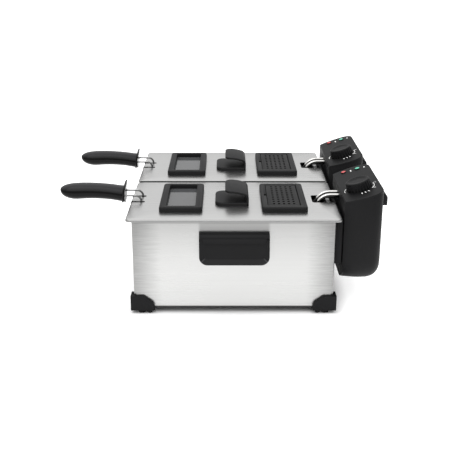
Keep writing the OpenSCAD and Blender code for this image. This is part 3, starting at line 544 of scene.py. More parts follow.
def buildCase(sizes):
    shell = roundBlock("caseShell", *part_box("case"), sizes["corner"], sizes["topEdge"], 8, 3)
    remove(shell, lambda face: face.normal.z < -0.9)
    thicken(shell, sizes["sheet"])
    x, y = sizes["tankHole"]
    low, high = sizes["cut"]
    for step in (Vector(), unitStep):
        carve(shell, roundBlock("hole", fromWell(-x, -y, low) + step, fromWell(x, y, high) + step,
                                sizes["holeCorner"]))
    keep(shell, "housing", "case_steel", ["case"])
    keep(solidCopy("base_plate", "basePlate", 0.6), "housing", "base_steel", ["base_plate"])
    keep(solidCopy("guide_blocks", "guideBlocks", 1.0), "housing", "black_plastic", ["guide_blocks"])


buildCase(caseSizes)

# ---- feet ----

guardSizes = {"reach": 34.5, "low": 5, "top": 27.5, "end": 16.5, "slopeStart": 18.5, "proud": 4.5,
              "endRound": 5, "edge": 1.2}
padSizes = {"edge": 0.8,
            # place from the corner, radius, height of its lower face
            "pads": ((15.5, 8.5, 5.5, 0), (27, 5.5, 3.5, 0.6), (5.5, 27, 3.5, 0.6))}


def buildFeet(sizes, pads):
    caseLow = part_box("case")[0]
    proud, floor = sizes["proud"] / 1000, sizes["low"]
    corner = Vector((caseLow.x - proud, caseLow.y - proud, 0))

    def near(x, y, z):
        return corner + Vector((x, y, z)) / 1000

    reach, top, end, start = sizes["reach"], sizes["top"], sizes["end"], sizes["slopeStart"]
    guard = block("footGuard", near(0, 0, floor), near(reach, reach, top))
    for axis in (0, 1):
        slope = Vector((top - end, top - end, reach - start))
        slope[1 - axis] = 0
        cut(guard, near(start, start, top), slope.normalized())

        def isTip(line):
            off = middle(line) - near(reach, reach, end)
            off[1 - axis] = 0
            return runs(line, 1 - axis) and off.length < 1e-3

        soften(guard, isTip, sizes["endRound"], 4)
    # room for the case
    carve(guard, roundBlock("corner", caseLow - Vector((0, 0, 0.003)), caseLow + Vector((0.2, 0.2, 0.1)),
                            caseSizes["corner"]))
    softEdges(guard, sizes["edge"], 3, 30)
    guards, rubbers = [guard], []
    for x, y, radius, low in pads["pads"]:
        pad = drum("pad", near(x, y, (low + floor) / 2), radius, floor - low, 32)
        soften(pad, lambda line: level(line, 2, low / 1000), pads["edge"])
        rubbers.append(pad)
    firstPads = list(rubbers)
    for scale in ((-1, 1, 1), (1, -1, 1), (-1, -1, 1)):
        guards.append(copyOf(guard, guard.name, scale=scale, about=caseMiddle))
        rubbers += [copyOf(pad, pad.name, scale=scale, about=caseMiddle) for pad in firstPads]
    keep(join("footGuards", *guards), "housing", "black_plastic", ["foot_guards"])
    keep(join("footPads", *rubbers), "housing", "rubber_foot", ["foot_pads"])


buildFeet(guardSizes, padSizes)
print("case and feet modelled")

# ---- carry handles ----

carrySizes = {"middle": 0.8, "width": 99.4, "top": 126, "height": 44.5, "out": 14, "topRound": 8,
              "lowerCorner": 12, "band": 7, "bandEdgeHighlight": 0.7, "flare": 4, "fade": 12, "wall": 2.8, "edge": 0.9}


def buildCarryHandles(sizes):
    top, low = sizes["top"], sizes["top"] - sizes["height"]
    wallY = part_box("case")[0].y
    half = sizes["width"] / 2

    def spot(x, out, z):
        return Vector((caseMiddle.x + (sizes["middle"] + x) / 1000, wallY - out / 1000, z / 1000))

    def mark(vert):
        return round(vert.co.x, 5), round(vert.co.z, 5)

    cup = block("carryHandles", spot(-half, sizes["out"], low), spot(half, 0, top))
    front = spot(0, sizes["out"], 0).y
    soften(cup, lambda line: level(line, 2, low / 1000) and runs(line, 1), sizes["lowerCorner"], 8)
    soften(cup, lambda line: level(line, 1, front) and level(line, 2, top / 1000), sizes["topRound"], 6)
    # a band is marked off round the face, and its outer line flares out towards the bottom
    rim = {mark(vert) for vert in cup.data.vertices if abs(vert.co.y - front) < 1e-5}
    pick(cup, "FACE", lambda face: face.normal.y < -0.99)
    bpy.ops.mesh.inset(thickness=sizes["band"] / 1000, depth=0)
    letGo()
    for height in sorted({z for x, z in rim}):
        share = (height * 1000 - low - sizes["lowerCorner"]) / sizes["fade"]
        pick(cup, "VERT", lambda vert: abs(vert.co.y - front) < 1e-5 and abs(vert.co.z - height) < 1e-5
             and mark(vert) in rim)
        bpy.ops.transform.translate(value=(0, -sizes["flare"] * (1 - min(1, max(0, share))) / 1000, 0))
        letGo()
    remove(cup, lambda face: level(face, 1, wallY) or level(face, 2, low / 1000))
    thicken(cup, sizes["wall"], False)
    softEdges(cup, sizes["edge"], 2, 18)
    paint(cup, "black_plastic")
    # painted light: the flared band at the foot is painted lighter, as it faces up, and a thin painted
    # highlight runs along its upper line
    line, thin = (low + sizes["band"]) / 1000, sizes["bandEdgeHighlight"] / 1000
    inlay(cup, "band_lit_plastic", lambda face: middle(face).y < front + 5e-4 and middle(face).z < line)
    inlay(cup, "band_edge_highlight", lambda face: middle(face).y < front + 2e-3 and abs(middle(face).z - line) < thin)
    rear = copyOf(cup, "rear", scale=(1, -1, 1), about=caseMiddle)
    keep(join("carryHandles", cup, rear), "housing", "black_plastic", ["carry_handles"])


buildCarryHandles(carrySizes)
print("carry handles modelled")

# ---- lids ----

lidSizes = {"corner": 7, "edge": 2, "sheet": 1.2, "cut": (140, 150), "holeCorner": 2,
            # left, right and half width of the holes under the window and the vent, and of the notch
            "windowHole": (-97.5, -55.5, 52.5), "ventHole": (54, 93, 47),
            "notch": (118, 170, 18), "notchCorner": 4,
            "slot": 7, "slotGap": 14, "slotEnds": (-160, -132.4), "slotCorner": 1.9,
            "shadeEdging": 1.8, "shadeEdgingStart": -152.9, "shadeEdgingHeight": (143.9, 144.96)}


def buildLid(sizes):
    sheet = roundBlock("lid", *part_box("lid_front"), sizes["corner"], sizes["edge"], 8, 4)
    remove(sheet, lambda face: face.normal.z < -0.9)
    thicken(sheet, sizes["sheet"])
    low, high = sizes["cut"]
    holes = [roundBlock("hole", fromUnit(left, -half, low), fromUnit(right, half, high), sizes["holeCorner"])
             for left, right, half in (sizes["windowHole"], sizes["ventHole"])]
    outer, inner = sizes["slotEnds"]
    wide = sizes["slot"] / 2

    def channel(name, side, start, heights, inset=0):  # as a slot, or less by an inset
        y = side * sizes["slotGap"]
        return block(name, fromWell(start, y - wide + inset, heights[0]),
                     fromWell(inner - inset, y + wide - inset, heights[1]))

    def isInner(line):
        return runs(line, 2) and abs(middle(line).x - fromWell(inner, 0, 0).x) < 1e-5

    # painted shade: a black edging round each slot stands in for the shade inside it
    shadeEdgings = []
    for side in (-1, 1):
        shadeEdging = channel("shadeEdging", side, sizes["shadeEdgingStart"], sizes["shadeEdgingHeight"])
        soften(shadeEdging, isInner, sizes["slotCorner"], 4)
        carve(shadeEdging, channel("gap", side, outer, sizes["cut"], sizes["shadeEdging"]))
        paint(shadeEdging, "rubber_foot")
        shadeEdgings.append(shadeEdging)
        slot = channel("slot", side, outer, sizes["cut"])
        soften(slot, isInner, sizes["slotCorner"], 4)
        holes.append(slot)
    start, end, reach = sizes["notch"]
    notch = block("notch", fromWell(start, -reach, low), fromWell(end, reach, high))
    soften(notch, lambda line: runs(line, 2) and middle(line).x < fromWell(start + 1, 0, 0).x,
           sizes["notchCorner"], 5)
    carve(sheet, *holes, notch)
    paint(sheet, "lid_steel")
    keep(join("lid", sheet, *shadeEdgings), "lid_set", "lid_steel", ["lid"])


buildLid(lidSizes)

# ---- window and vent ----

windowSizes = {"x": -76.5, "outer": (31.25, 61), "opening": (21, 52.5), "openingCorner": 2.2,
               "glass": (24.5, 56), "glassThick": 1.6, "glassCorner": 1.5, "seat": (24.7, 56.2),
               "bottom": 145, "top": 153, "corner": 5, "edge": 2.5, "innerEdge": 0.9, "cut": (140, 160)}
ventSizes = {"x": 73.5, "outerX": 74.1, "outer": (33, 61.2), "recess": (24, 51.5), "recessCorner": 1.5,
             "through": (19.5, 47), "throughCorner": 2, "inside": (28.5, 52), "insideEdge": 0.5, "sunk": 0.6,
             "floor": 147, "bottom": 145, "top": 153, "corner": 5, "edge": 2.5,
             # left, right, half width, bottom
             "notch": (-27.5, -22.5, 4, 149.5), "notchCorner": 1, "cut": (140, 160)}
grilleSizes = {"bottom": 149.4, "top": 152.6, "half": (23.3, 50.8), "corner": 1.5, "hingeRound": 1.55,
               "columns": 5, "rows": 9, "slot": (3.4, 5.4), "slotCorner": 1.3, "step": (7.3, 10.5),
               "cut": (145, 156), "frame": 2, "edge": 0.35, "pinRadius": 1.1, "pinHalf": 54, "pinIn": 1.6}


def centredBlock(name, x, half, bottom, top, corner, edge=0, steps=6, soft=4):
    return roundBlock(name, fromUnit(x - half[0], -half[1], bottom), fromUnit(x + half[0], half[1], top),
                      corner, edge, steps, soft)


def insideOf(part, x, half):  # the part lies within a rectangle about the unit's middle line
    spot = middle(part) - fromUnit(x, 0, 0)
    return abs(spot.x) < (half[0] + 0.2) / 1000 and abs(spot.y) < (half[1] + 0.2) / 1000


def buildWindow(sizes):
    x, bottom, top, (low, high) = sizes["x"], sizes["bottom"], sizes["top"], sizes["cut"]
    glassTop = bottom + sizes["glassThick"]
    surround = centredBlock("windowFrame", x, sizes["outer"], bottom, top, sizes["corner"], sizes["edge"])
    carve(surround, centredBlock("hole", x, sizes["opening"], low, high, sizes["openingCorner"]),
          centredBlock("seat", x, sizes["seat"], low, glassTop, sizes["glassCorner"]))
    soften(surround, lambda line: level(line, 2, top / 1000) and insideOf(line, x, sizes["opening"]),
           sizes["innerEdge"], 3)
    keep(surround, "lid_set", "grey_plastic", ["window_frame"])
    pane = centredBlock("windowGlass", x, sizes["glass"], bottom, glassTop, sizes["glassCorner"], 0.2, 3, 1)
    keep(pane, "lid_set", "window_glass", ["window_glass"])


def buildVent(sizes):
    x, top, (low, high) = sizes["x"], sizes["top"], sizes["cut"]
    base = centredBlock("ventBase", sizes["outerX"], sizes["outer"], sizes["bottom"], top, sizes["corner"],
                        sizes["edge"])
    left, right, half, bottom = sizes["notch"]
    notch = roundBlock("notch", fromUnit(x + left, -half, bottom), fromUnit(x + right, half, high),
                       sizes["notchCorner"], 0, 3)
    carve(base, centredBlock("recess", x, sizes["recess"], sizes["floor"], high, sizes["recessCorner"]),
          centredBlock("through", x, sizes["through"], low, high, sizes["throughCorner"]), notch)
    soften(base, lambda line: level(line, 2, top / 1000) and insideOf(line, x, sizes["inside"]),
           sizes["insideEdge"], 2)
    paint(base, "grey_plastic")
    inlay(base, "rubber_foot", lambda face: middle(face).z < (top - sizes["sunk"]) / 1000 and
          insideOf(face, x, sizes["inside"]))
    keep(base, "lid_set", "grey_plastic", ["vent_base"])


def buildGrille(sizes):
    x, half, top = ventSizes["x"], sizes["half"], sizes["top"]
    leaf = centredBlock("ventGrille", x, half, sizes["bottom"], top, 0)
    hingeSide = fromUnit(x + half[0], 0, 0).x
    soften(leaf, lambda line: runs(line, 2) and middle(line).x < fromUnit(x, 0, 0).x, sizes["corner"], 4)
    soften(leaf, lambda line: runs(line, 1) and level(line, 0, hingeSide), sizes["hingeRound"], 5)
    wide, long = sizes["slot"]
    stepX, stepY = sizes["step"]
    firstX, firstY = x - (sizes["columns"] - 1) * stepX / 2, (1 - sizes["rows"]) * stepY / 2
    low, high = sizes["cut"]
    slot = roundBlock("slots", fromUnit(firstX - wide / 2, firstY - long / 2, low),
                      fromUnit(firstX + wide / 2, firstY + long / 2, high), sizes["slotCorner"], 0, 4)
    repeat(slot, sizes["columns"], (stepX / 1000, 0, 0))
    repeat(slot, sizes["rows"], (0, stepY / 1000, 0))
    carve(leaf, slot)
    field = (half[0] - sizes["frame"], half[1] - sizes["frame"])
    paint(leaf, "grey_plastic")
    inlay(leaf, "rubber_foot", lambda face: abs(face.normal.z) < 0.5 and insideOf(face, x, field))
    soften(leaf, lambda line: level(line, 2, top / 1000) and sharp(line) and not insideOf(line, x, field),
           sizes["edge"], 2)
    pin = drum("hinge", fromUnit(x + half[0] - sizes["pinIn"], 0, top - sizes["pinIn"]), sizes["pinRadius"],
               2 * sizes["pinHalf"], 16, (math.pi / 2, 0, 0))
    keep(join("ventGrille", leaf, pin), "grille", "grey_plastic", ["vent_grille"])


buildWindow(windowSizes)
buildVent(ventSizes)
buildGrille(grilleSizes)
print("lid, window and vent modelled")

# ---- lid handle ----

curlSizes = {"back": 22.5, "half": 32, "lid": 145, "foot": 49.5, "footThick": 5.5, "footCorner": 12,
             "footEdge": 2.2, "footIn": 0.2, "band": 3.4, "radius": 9, "rise": 11,
             # degrees and length of each straight of the flap
             "slopes": ((14, 8), (8, 7.5), (1, 12.3)), "flapCorner": 10.5, "edge": 1.1}


def buildLidHandle(sizes):
    back, half, floor = sizes["back"], sizes["half"], sizes["lid"]
    footTop, bandTop = floor + sizes["footThick"], floor + sizes["rise"]
    foot = block("foot", fromUnit(back - sizes["foot"], -half, floor),
                 fromUnit(back - sizes["footIn"], half, footTop))
    soften(foot, lambda line: runs(line, 2) and middle(line).x < fromUnit(0, 0, 0).x,
           sizes["footCorner"], 8)
    soften(foot, lambda line: level(line, 2, footTop / 1000) and
           middle(line).x < fromUnit(back - 1, 0, 0).x, sizes["footEdge"], 4)
    band = block("band", fromUnit(back - sizes["band"], -half, floor), fromUnit(back, half, bandTop))
    pick(band, "FACE", lambda face: face.normal.z > 0.9)
    tip = fromUnit(back - sizes["radius"], 0, bandTop)
    before = sizes["slopes"][0][0]
    bpy.ops.mesh.spin(steps=12, angle=math.radians(90 - before), axis=(0, 1, 0), center=tip)
    for slope, length in sizes["slopes"]:
        bpy.ops.transform.rotate(value=math.radians(before - slope), orient_axis="Y")
        along = Vector((-math.cos(math.radians(slope)), 0, math.sin(math.radians(slope))))
        extrude(along * length / 1000)
        tip, before = tip + along * length / 1000, slope
    letGo()
    # the short edges across the band at its free end
    soften(band, lambda line: not runs(line, 1) and (middle(line) - tip).dot(along) > -4e-3 and
           (line.verts[0].co - line.verts[1].co).length < 0.004, sizes["flapCorner"], 6)
    softEdges(band, sizes["edge"], 3, 50)
    keep(join("lidHandle", foot, band), "lid_set", "grey_plastic", ["lid_handle"])


buildLidHandle(curlSizes)

# ---- basket handles ----

wireSizes = {"x": -137.3, "gap": 14, "radius": 1.5, "foot": 103, "bend": 9, "top": 154.6, "end": -175}
gripSizes = {"inner": -161, "length": 99, "wire": 155.5, "sides": 28, "seat": 1, "guard": (2.6, 40, 32),
             "guardAt": (2.6, 1.8), "guardRound": 14, "guardEdge": 0.9, "tilt": 9.5,
             # share of the length, top and bottom above the wires, half width
             "rings": ((0.00, 9.8, -14.8, 16.8), (0.01, 9.9, -14.6, 16.8), (0.10, 10.9, -12.6, 16.6),
                       (0.25, 12.9, -10.2, 16.2), (0.45, 14.4, -9.0, 16.2), (0.62, 14.8, -9.2, 16.6),
                       (0.77, 14.3, -10.0, 16.4), (0.88, 12.8, -8.0, 14.6), (0.95, 10.4, -4.4, 11.4),
                       (0.985, 8.2, -0.6, 7.2), (1.00, 6.4, 2.0, 3.0))}


def buildWires(sizes):
    x, foot, bend = sizes["x"], sizes["foot"], sizes["bend"]
    moves = [sizes["top"] - bend - foot, ((0, -1, 0), 90, bend), x - bend - sizes["end"]]
    wires = [bendTube("wire", fromWell(x, y, foot), (0, 0, 1), sizes["radius"], moves, 16)
             for y in (-sizes["gap"], sizes["gap"])]
    keep(join("handleWires", *wires), "basket_handle", "bright_wire", ["handle_wires"])


def between(p, q, r, s, share):  # on a smooth curve through four marks, from the second to the third
    return q + share * (r - p + share * (2 * p - 5 * q + 4 * r - s + share * (3 * q - p - 3 * r + s))) / 2


def buildGrip(sizes):
    start, length, marks = sizes["inner"] - sizes["seat"], sizes["length"] - sizes["seat"], sizes["rings"]
    rings = [[between(*four, step / 3) for four in zip(*near)]
             for near in zip(marks[:1] + marks, marks, marks[1:], marks[2:] + marks[-1:])
             for step in range(3)] + [marks[-1]]

    def centre(share, top, bottom, half):
        return fromWell(start - share * length, 0, sizes["wire"] + (top + bottom) / 2)

    first, (share, top, bottom, half) = centre(*rings[0]), rings[0]
    grip = openRing("handleGrip", sizes["sides"], half, first, (0, -math.pi / 2, 0))
    stretch((1, 1, (top - bottom) / 2 / half), first)
    for before, after in zip(rings, rings[1:]):
        extrude(centre(*after) - centre(*before))
        stretch((1, after[3] / before[3], (after[1] - after[2]) / (before[1] - before[2])), centre(*after))
    closeEnds(grip)
    finishWith(grip, "SUBSURF", levels=1, render_levels=1)
    thick, width, tall = sizes["guard"]
    size = Vector((tall, width, thick)) / 1000
    guard = roundBlock("guard", -size / 2, size / 2, sizes["guardRound"], 0, 8)
    softEdges(guard, sizes["guardEdge"], 3)
    out, up = sizes["guardAt"]
    guard.rotation_euler = (0, math.pi / 2 + math.radians(sizes["tilt"]), 0)
    guard.location = fromWell(sizes["inner"] - out, 0, sizes["wire"] + up)
    keep(join("handleGrip", grip, guard), "basket_handle", "grip_plastic", ["handle_grip"])


buildWires(wireSizes)
buildGrip(gripSizes)
print("lid handle and basket handle modelled")

# ---- tanks, heaters and baskets ----

tankSizes = {"half": (140.2, 78), "bottom": 34, "top": 143.8, "corner": 22, "fillet": 14, "wall": 0.8,
             "rim": 4.2, "lip": 2.7, "edge": 0.5}
loopSizes = {"radius": 3.25, "legs": 8, "end": 166, "top": 153, "topBend": 19, "legX": 125.5, "low": 45,
             "lowBend": 22, "cross": 12, "outer": 45, "inner": 15, "far": -100.2, "near": 60}
probeSizes = {"x": 117.5, "bulb": (3, 55, 115), "bulbEdge": 1.4, "overlap": 1, "wire": 1, "top": 147,
              "bend": 16, "end": 166}
basketSizes = {"low": (-130.2, -70), "high": (109.8, 70), "floor": 54, "rim": 128, "rimWire": 2, "rimIn": 0.8,
               "corner": 5, "wire": 0.7, "pitch": 7.2, "fold": 6, "firstHoop": 7, "hoopsEnd": 8}


def buildTank(sizes):
    x, y = sizes["half"]
    bottom, top = sizes["bottom"], sizes["top"]
    tub = roundBlock("tank", fromWell(-x, -y, bottom), fromWell(x, y, top), sizes["corner"], 0, 10)
    soften(tub, lambda line: level(line, 2, bottom / 1000), sizes["fillet"], 8)
    remove(tub, lambda face: face.normal.z > 0.9)
    pick(tub, "EDGE", lambda line: level(line, 2, top / 1000))
    extrude((0, 0, 0))
    stretch((1 + sizes["rim"] / x, 1 + sizes["rim"] / y, 1), fromWell(0, 0, top))
    extrude((0, 0, -sizes["lip"] / 1000))
    letGo()
    thicken(tub, sizes["wall"])
    softEdges(tub, sizes["edge"], 3, 60)
    keep(tub, "oil_tank", "tank_steel", ["tank"])


def buildHeater(sizes, probe):
    left, right, up, down = (0, 0, 1), (0, 0, -1), (0, -1, 0), (0, 1, 0)
    topBend, lowBend, cross = sizes["topBend"], sizes["lowBend"], sizes["cross"]
    outer, inner, far = sizes["outer"], sizes["inner"], sizes["far"]
    half = [sizes["end"] - sizes["legX"] - topBend, (up, 90, topBend),
            sizes["top"] - topBend - sizes["low"] - lowBend, (down, 90, lowBend),
            (right, 90, cross), outer - sizes["legs"] - 2 * cross, (left, 90, cross),
            sizes["legX"] - lowBend - 2 * cross - far, (left, 180, (outer - inner) / 2), sizes["near"] - far]
    back = [(tuple(-part for part in move[0]), *move[1:])
            if isinstance(move, tuple) and move[0] in (up, down) else move for move in reversed(half)]
    tube = bendTube("heatingElement", fromWell(sizes["end"], sizes["legs"], sizes["top"]), (-1, 0, 0),
                    sizes["radius"], [*half, (right, 180, inner), *back], 14)
    keep(tube, "heater", "bright_tube", ["heating_element"])
    x, (radius, low, high), bend = probe["x"], probe["bulb"], probe["bend"]
    bulb = drum("bulb", fromWell(x, 0, (low + high) / 2), radius, high - low, 20)
    softEdges(bulb, probe["bulbEdge"], 4, 50)
    start = high - probe["overlap"]
    thin = bendTube("thin", fromWell(x, 0, start), (0, 0, 1), probe["wire"],
                    [probe["top"] - bend - start, ((0, 1, 0), 90, bend), probe["end"] - x - bend], 10)
    paint(bulb, "bright_tube")
    # the thin wire is black rubber all along, which also stands in for the shade in the lid's notch where it
    # runs
    paint(thin, "soft_rubber")
    keep(join("thermostatProbe", bulb, thin), "heater", "bright_tube", ["thermostat_probe"])


def buildBasket(sizes):
    x0, y0 = sizes["low"]
    x1, y1 = sizes["high"]
    wire, fold, floor, rim = sizes["wire"], sizes["fold"], sizes["floor"], sizes["rim"]
    corner, pitch = sizes["corner"], sizes["pitch"]
    drop = rim - floor - wire - fold
    straightX, straightY = x1 - x0 - 2 * corner, y1 - y0 - 2 * corner
    across, along = int(straightX / pitch), int(straightY / pitch)

    def wires(name, x, y, axis, down, run, count, step):  # bent up into two walls, and repeated
        bend = (axis, 90, fold)
        piece = bendTube(name, fromWell(x, y, rim), (0, 0, -1), wire, [down, bend, run, bend, down], 6)
        repeat(piece, count, step)
        return piece

    def hoop(name, inset, height, radius, sides):
        bend = ((0, 0, 1), 90, corner - inset)
        return bendTube(name, fromWell(x0 + corner, y0 + inset, height), (1, 0, 0), radius,
                        [straightX, bend, straightY, bend] * 2, sides, True)

    crossWires = wires("cross", (x0 + x1) / 2 - across * pitch / 2, y0 + wire, (1, 0, 0), drop,
                       y1 - y0 - 2 * wire - 2 * fold, across + 1, (pitch / 1000, 0, 0))
    longWires = wires("long", x0 + 2 * wire, (y0 + y1) / 2 - along * pitch / 2, (0, -1, 0), drop - wire,
                      x1 - x0 - 4 * wire - 2 * fold, along + 1, (0, pitch / 1000, 0))
    hoops = hoop("hoops", 2 * wire, floor + sizes["firstHoop"], wire, 6)
    repeat(hoops, int((rim - floor - sizes["hoopsEnd"]) / pitch), (0, 0, pitch / 1000))
    edge = hoop("rim", sizes["rimIn"], rim, sizes["rimWire"], 12)
    keep(join("basket", crossWires, longWires, hoops, edge), "basket_set", "bright_wire",
         ["basket_floor", "basket_sides", "basket_ends", "basket_rim"], 50)
    keep(solidCopy("basket_frame_front", "basketFrame", 0.3), "basket_set", "bright_wire", ["basket_frame"])


buildTank(tankSizes)
buildHeater(loopSizes, probeSizes)
buildBasket(basketSizes)
print("tank, heater and basket modelled")

# ---- control heads ----

headSizes = {"inner": 158, "outer": 213, "half": 80, "bottom": 41, "bow": 72, "bowAt": 189.9, "corner": 13,
             # how deep and how tall the roundings at the foot are
             "toe": (17, 30), "heel": (36, 36), "panelLow": 164.5, "slope": 17.6, "panelThick": 3,
             "wall": 2.5, "rimEdge": 0.5, "uncut": (150, 190),
             "columns": (163, 168, 173, 178, 183, 188, 193, 198),
             "steps": (0.4, 1.6, 3.6, 6.5, 10, 14, 18.5, 23, 28, 32, 36, 150)}
ledgeSizes = {"out": 227, "half": 30, "bottom": 146, "low": 158.6, "high": 172, "corner": 3.5,
              "overlap": 0.5, "topEdge": 1.6, "edge": 0.5}


def onPanel(u, v, height):  # out from the panel's inner edge, along it, above it
    slope = math.radians(headSizes["slope"])
    return fromUnit(headSizes["inner"] + u * math.cos(slope) - height * math.sin(slope), v,
                    headSizes["panelLow"] + u * math.sin(slope) + height * math.cos(slope))


def panelPlane(depth):
    slope = math.radians(headSizes["slope"])
    return onPanel(0, 0, -depth), Vector((-math.sin(slope), 0, math.cos(slope)))


def bowedSlab(name, sizes, bottom, top):
    # plan of a head: bowed sides and two round outer corners
    slab = block(name, fromUnit(sizes["inner"], -sizes["half"], bottom),
                 fromUnit(sizes["outer"], sizes["half"], top))
    for x in sizes["columns"]:
        cut(slab, fromUnit(x, 0, 0), (1, 0, 0), False)
    outer = fromUnit(sizes["outer"], 0, 0).x
    soften(slab, lambda line: runs(line, 2) and level(line, 0, outer), sizes["corner"], 8)
    for x in sorted({round(vert.co.x, 6) for vert in slab.data.vertices}):
        off = (x - fromUnit(sizes["bowAt"], 0, 0).x) * 1000
        share = (sizes["half"] - sizes["bow"] + math.sqrt(sizes["bow"] ** 2 - off ** 2)) / sizes["half"]
        pick(slab, "VERT", lambda vert: abs(vert.co.x - x) < 2e-6)
        stretch((1, share, 1), fromUnit(0, 0, 0))
        letGo()
    return slab


def buildHead(sizes, ledge):
    bottom, steps, inner = sizes["bottom"], sizes["steps"], sizes["inner"]
    anchor = fromUnit(inner, 0, 0)

    def shares(rise):  # how far the foot of the head is drawn in at a height above its bottom
        def pull(deep, tall, full):
            short = max(0, tall - rise) / tall
            return (full - deep + deep * math.sqrt(1 - short ** 2)) / full
        return pull(*sizes["toe"], sizes["outer"] - inner), pull(*sizes["heel"], sizes["half"])

    body = bowedSlab("headBody", sizes, bottom, bottom + steps[0])
    for rise in (0, steps[0]):
        height = (bottom + rise) / 1000
        pick(body, "VERT", lambda vert: abs(vert.co.z - height) < 1e-5)
        stretch((*shares(rise), 1), anchor)
        letGo()
    for before, after in zip(steps, steps[1:]):
        pick(body, "FACE", lambda face: face.normal.z > 0.9 and level(face, 2, (bottom + before) / 1000))
        extrude((0, 0, (after - before) / 1000))
        was, now = shares(before), shares(after)
        stretch((now[0] / was[0], now[1] / was[1], 1), anchor)
        letGo()
    cut(body, *panelPlane(sizes["panelThick"]))
    remove(body, lambda face: face.normal.x < -0.9)
    clean(body)
    soften(body, lambda line: sharp(line, 0.8) and middle(line).z > 0.15, sizes["rimEdge"], 2)
    thicken(body, sizes["wall"])

    out, low, high, outer = ledge["out"], ledge["low"], ledge["high"], sizes["outer"]
    inside = fromUnit(outer - ledge["overlap"], 0, 0).x
    shelf = block("shelf", fromUnit(outer - ledge["overlap"], -ledge["half"], ledge["bottom"]),
                  fromUnit(out, ledge["half"], high))
    cut(shelf, fromUnit(outer, 0, high), Vector((high - low, 0, out - outer)).normalized())
    soften(shelf, lambda line: runs(line, 2) and not level(line, 0, inside), ledge["corner"], 5)
    soften(shelf, lambda line: sharp(line, 0.6) and middle(line).z > (low - 1) / 1000 and
           not level(line, 0, inside), ledge["topEdge"], 3)
    remove(shelf, lambda face: face.normal.z < -0.9 or level(face, 0, inside))
    thicken(shelf, sizes["wall"], False)
    softEdges(shelf, ledge["edge"], 2, 60)
    keep(join("headBody", body, shelf), "heater", "black_plastic", ["head_body", "lift_ledge"], 32)
    for node, name, edge, slot in (("head_plate", "headPlate", 0.5, "black_plastic"),
                                   ("thermostat", "thermostatCase", 0.5, "thermostat_case"),
                                   ("cord_gland", "cordGland", 0.4, "soft_rubber")):
        keep(solidCopy(node + "_front", name, edge), "heater", slot, [node])


buildHead(headSizes, ledgeSizes)
print("control head modelled")

# ---- panel, dial, lamps and reset ----

panelSizes = {"edge": 0.8, "steps": ((0.2, 0.4), (0.3, 0.25), (0.5, 0.15), (0.6, 0))}
dialSizes = {"u": 27, "v": -31, "lift": 0.3, "turn": 100, "radius": 18.75, "height": 12.6, "taper": 0.95,
             "sides": 96, "rib": 0.6, "topRound": 2.2, "edge": 0.25,
             # its ends from the rim inwards, its width, and its bottom and top below the knob's top
             "pointer": (10, 3.2, 1.6, 1.3, 0.9), "pointerCorner": 0.6,
             # inwards and up, for a rounding of 1.5 and a rise of 1
             "rounding": ((0.15, 0.38), (0.35, 0.33), (0.5, 0.21), (0.5, 0.08)),
             "dish": ((1.4, 0.1), (2.4, 1.0), (5, 0.2))}
lampSizes = {"red": (16, 63.5), "green": (38, 61.5),
             # radius, height, middle above the panel, edge
             "bezel": (4.25, 1.8, 0.6, 0.5), "lens": (3.8, 3, 0.5, 1.5), "rim": 0.2, "groove": (0.1, 0.8)}
markSizes = {"arc": 22, "width": 0.9, "height": 0.12, "sunk": 0.02, "arcs": ((-42, 17), (149, 186)),
             # angle, inner and outer end, width
             "ticks": ((16, 22, 27, 1.1), (-36, 22, 27, 1.1), (-66, 23, 27.6, 1.5),
                       (-78, 23, 27.6, 1.5), (-90, 23, 27.6, 1.5)),
             # place, width and length
             "dashes": ((27.4, 61.7, 1.7, 7), (48.9, 61.8, 2.2, 4))}


def standOnPanel(piece, u, v, height=0, turn=0):
    # a piece made upright at the origin is stood on the sloping panel
    piece.rotation_euler = (Matrix.Rotation(-math.radians(headSizes["slope"]), 3, "Y") @
                            Matrix.Rotation(math.radians(turn), 3, "Z")).to_euler()
    piece.location = onPanel(u, v, height)
    hold(piece)
    return settle(piece.name)


def buildPanel(sizes, marks, dial):
    panel = bowedSlab("controlPanel", headSizes, *headSizes["uncut"])
    cut(panel, *panelPlane(sizes["edge"]))
    point, normal = panelPlane(headSizes["panelThick"])
    cut(panel, point, -normal)
    clean(panel)
    pick(panel, "FACE", lambda face: face.normal.dot(normal) > 0.99)
    for inset, rise in sizes["steps"]:
        bpy.ops.mesh.inset(thickness=inset / 1000, depth=rise / 1000)
    letGo()
    paint(panel, "black_plastic")
    prints = []

    def mark(name, left, right, width):
        return block(name, Vector((left, -width / 2, 0)) / 1000,
                     Vector((right, width / 2, marks["height"])) / 1000)

    def printed(piece, u, v, turn=0):
        prints.append(standOnPanel(piece, u, v, -marks["sunk"], turn))
        paint(prints[-1], "white_print")

    for angle, inner, outer, width in marks["ticks"]:
        printed(mark("tick", inner, outer, width), dial["u"], dial["v"], angle)
    for u, v, wide, long in marks["dashes"]:
        printed(mark("dash", -wide / 2, wide / 2, long), u, v)
    for start, stop in marks["arcs"]:
        arc = mark("arc", marks["arc"] - marks["width"] / 2, marks["arc"] + marks["width"] / 2, 0.1)
        pick(arc, "FACE", lambda face: face.normal.y > 0.9)
        bpy.ops.mesh.spin(steps=max(3, (stop - start) // 4), angle=-math.radians(stop - start),
                          axis=(0, 0, 1), center=(0, 0, 0))
        letGo()
        outwards(arc)
        printed(arc, dial["u"], dial["v"], start)
    keep(join("controlPanel", panel, *prints), "heater", "black_plastic", ["control_panel"])


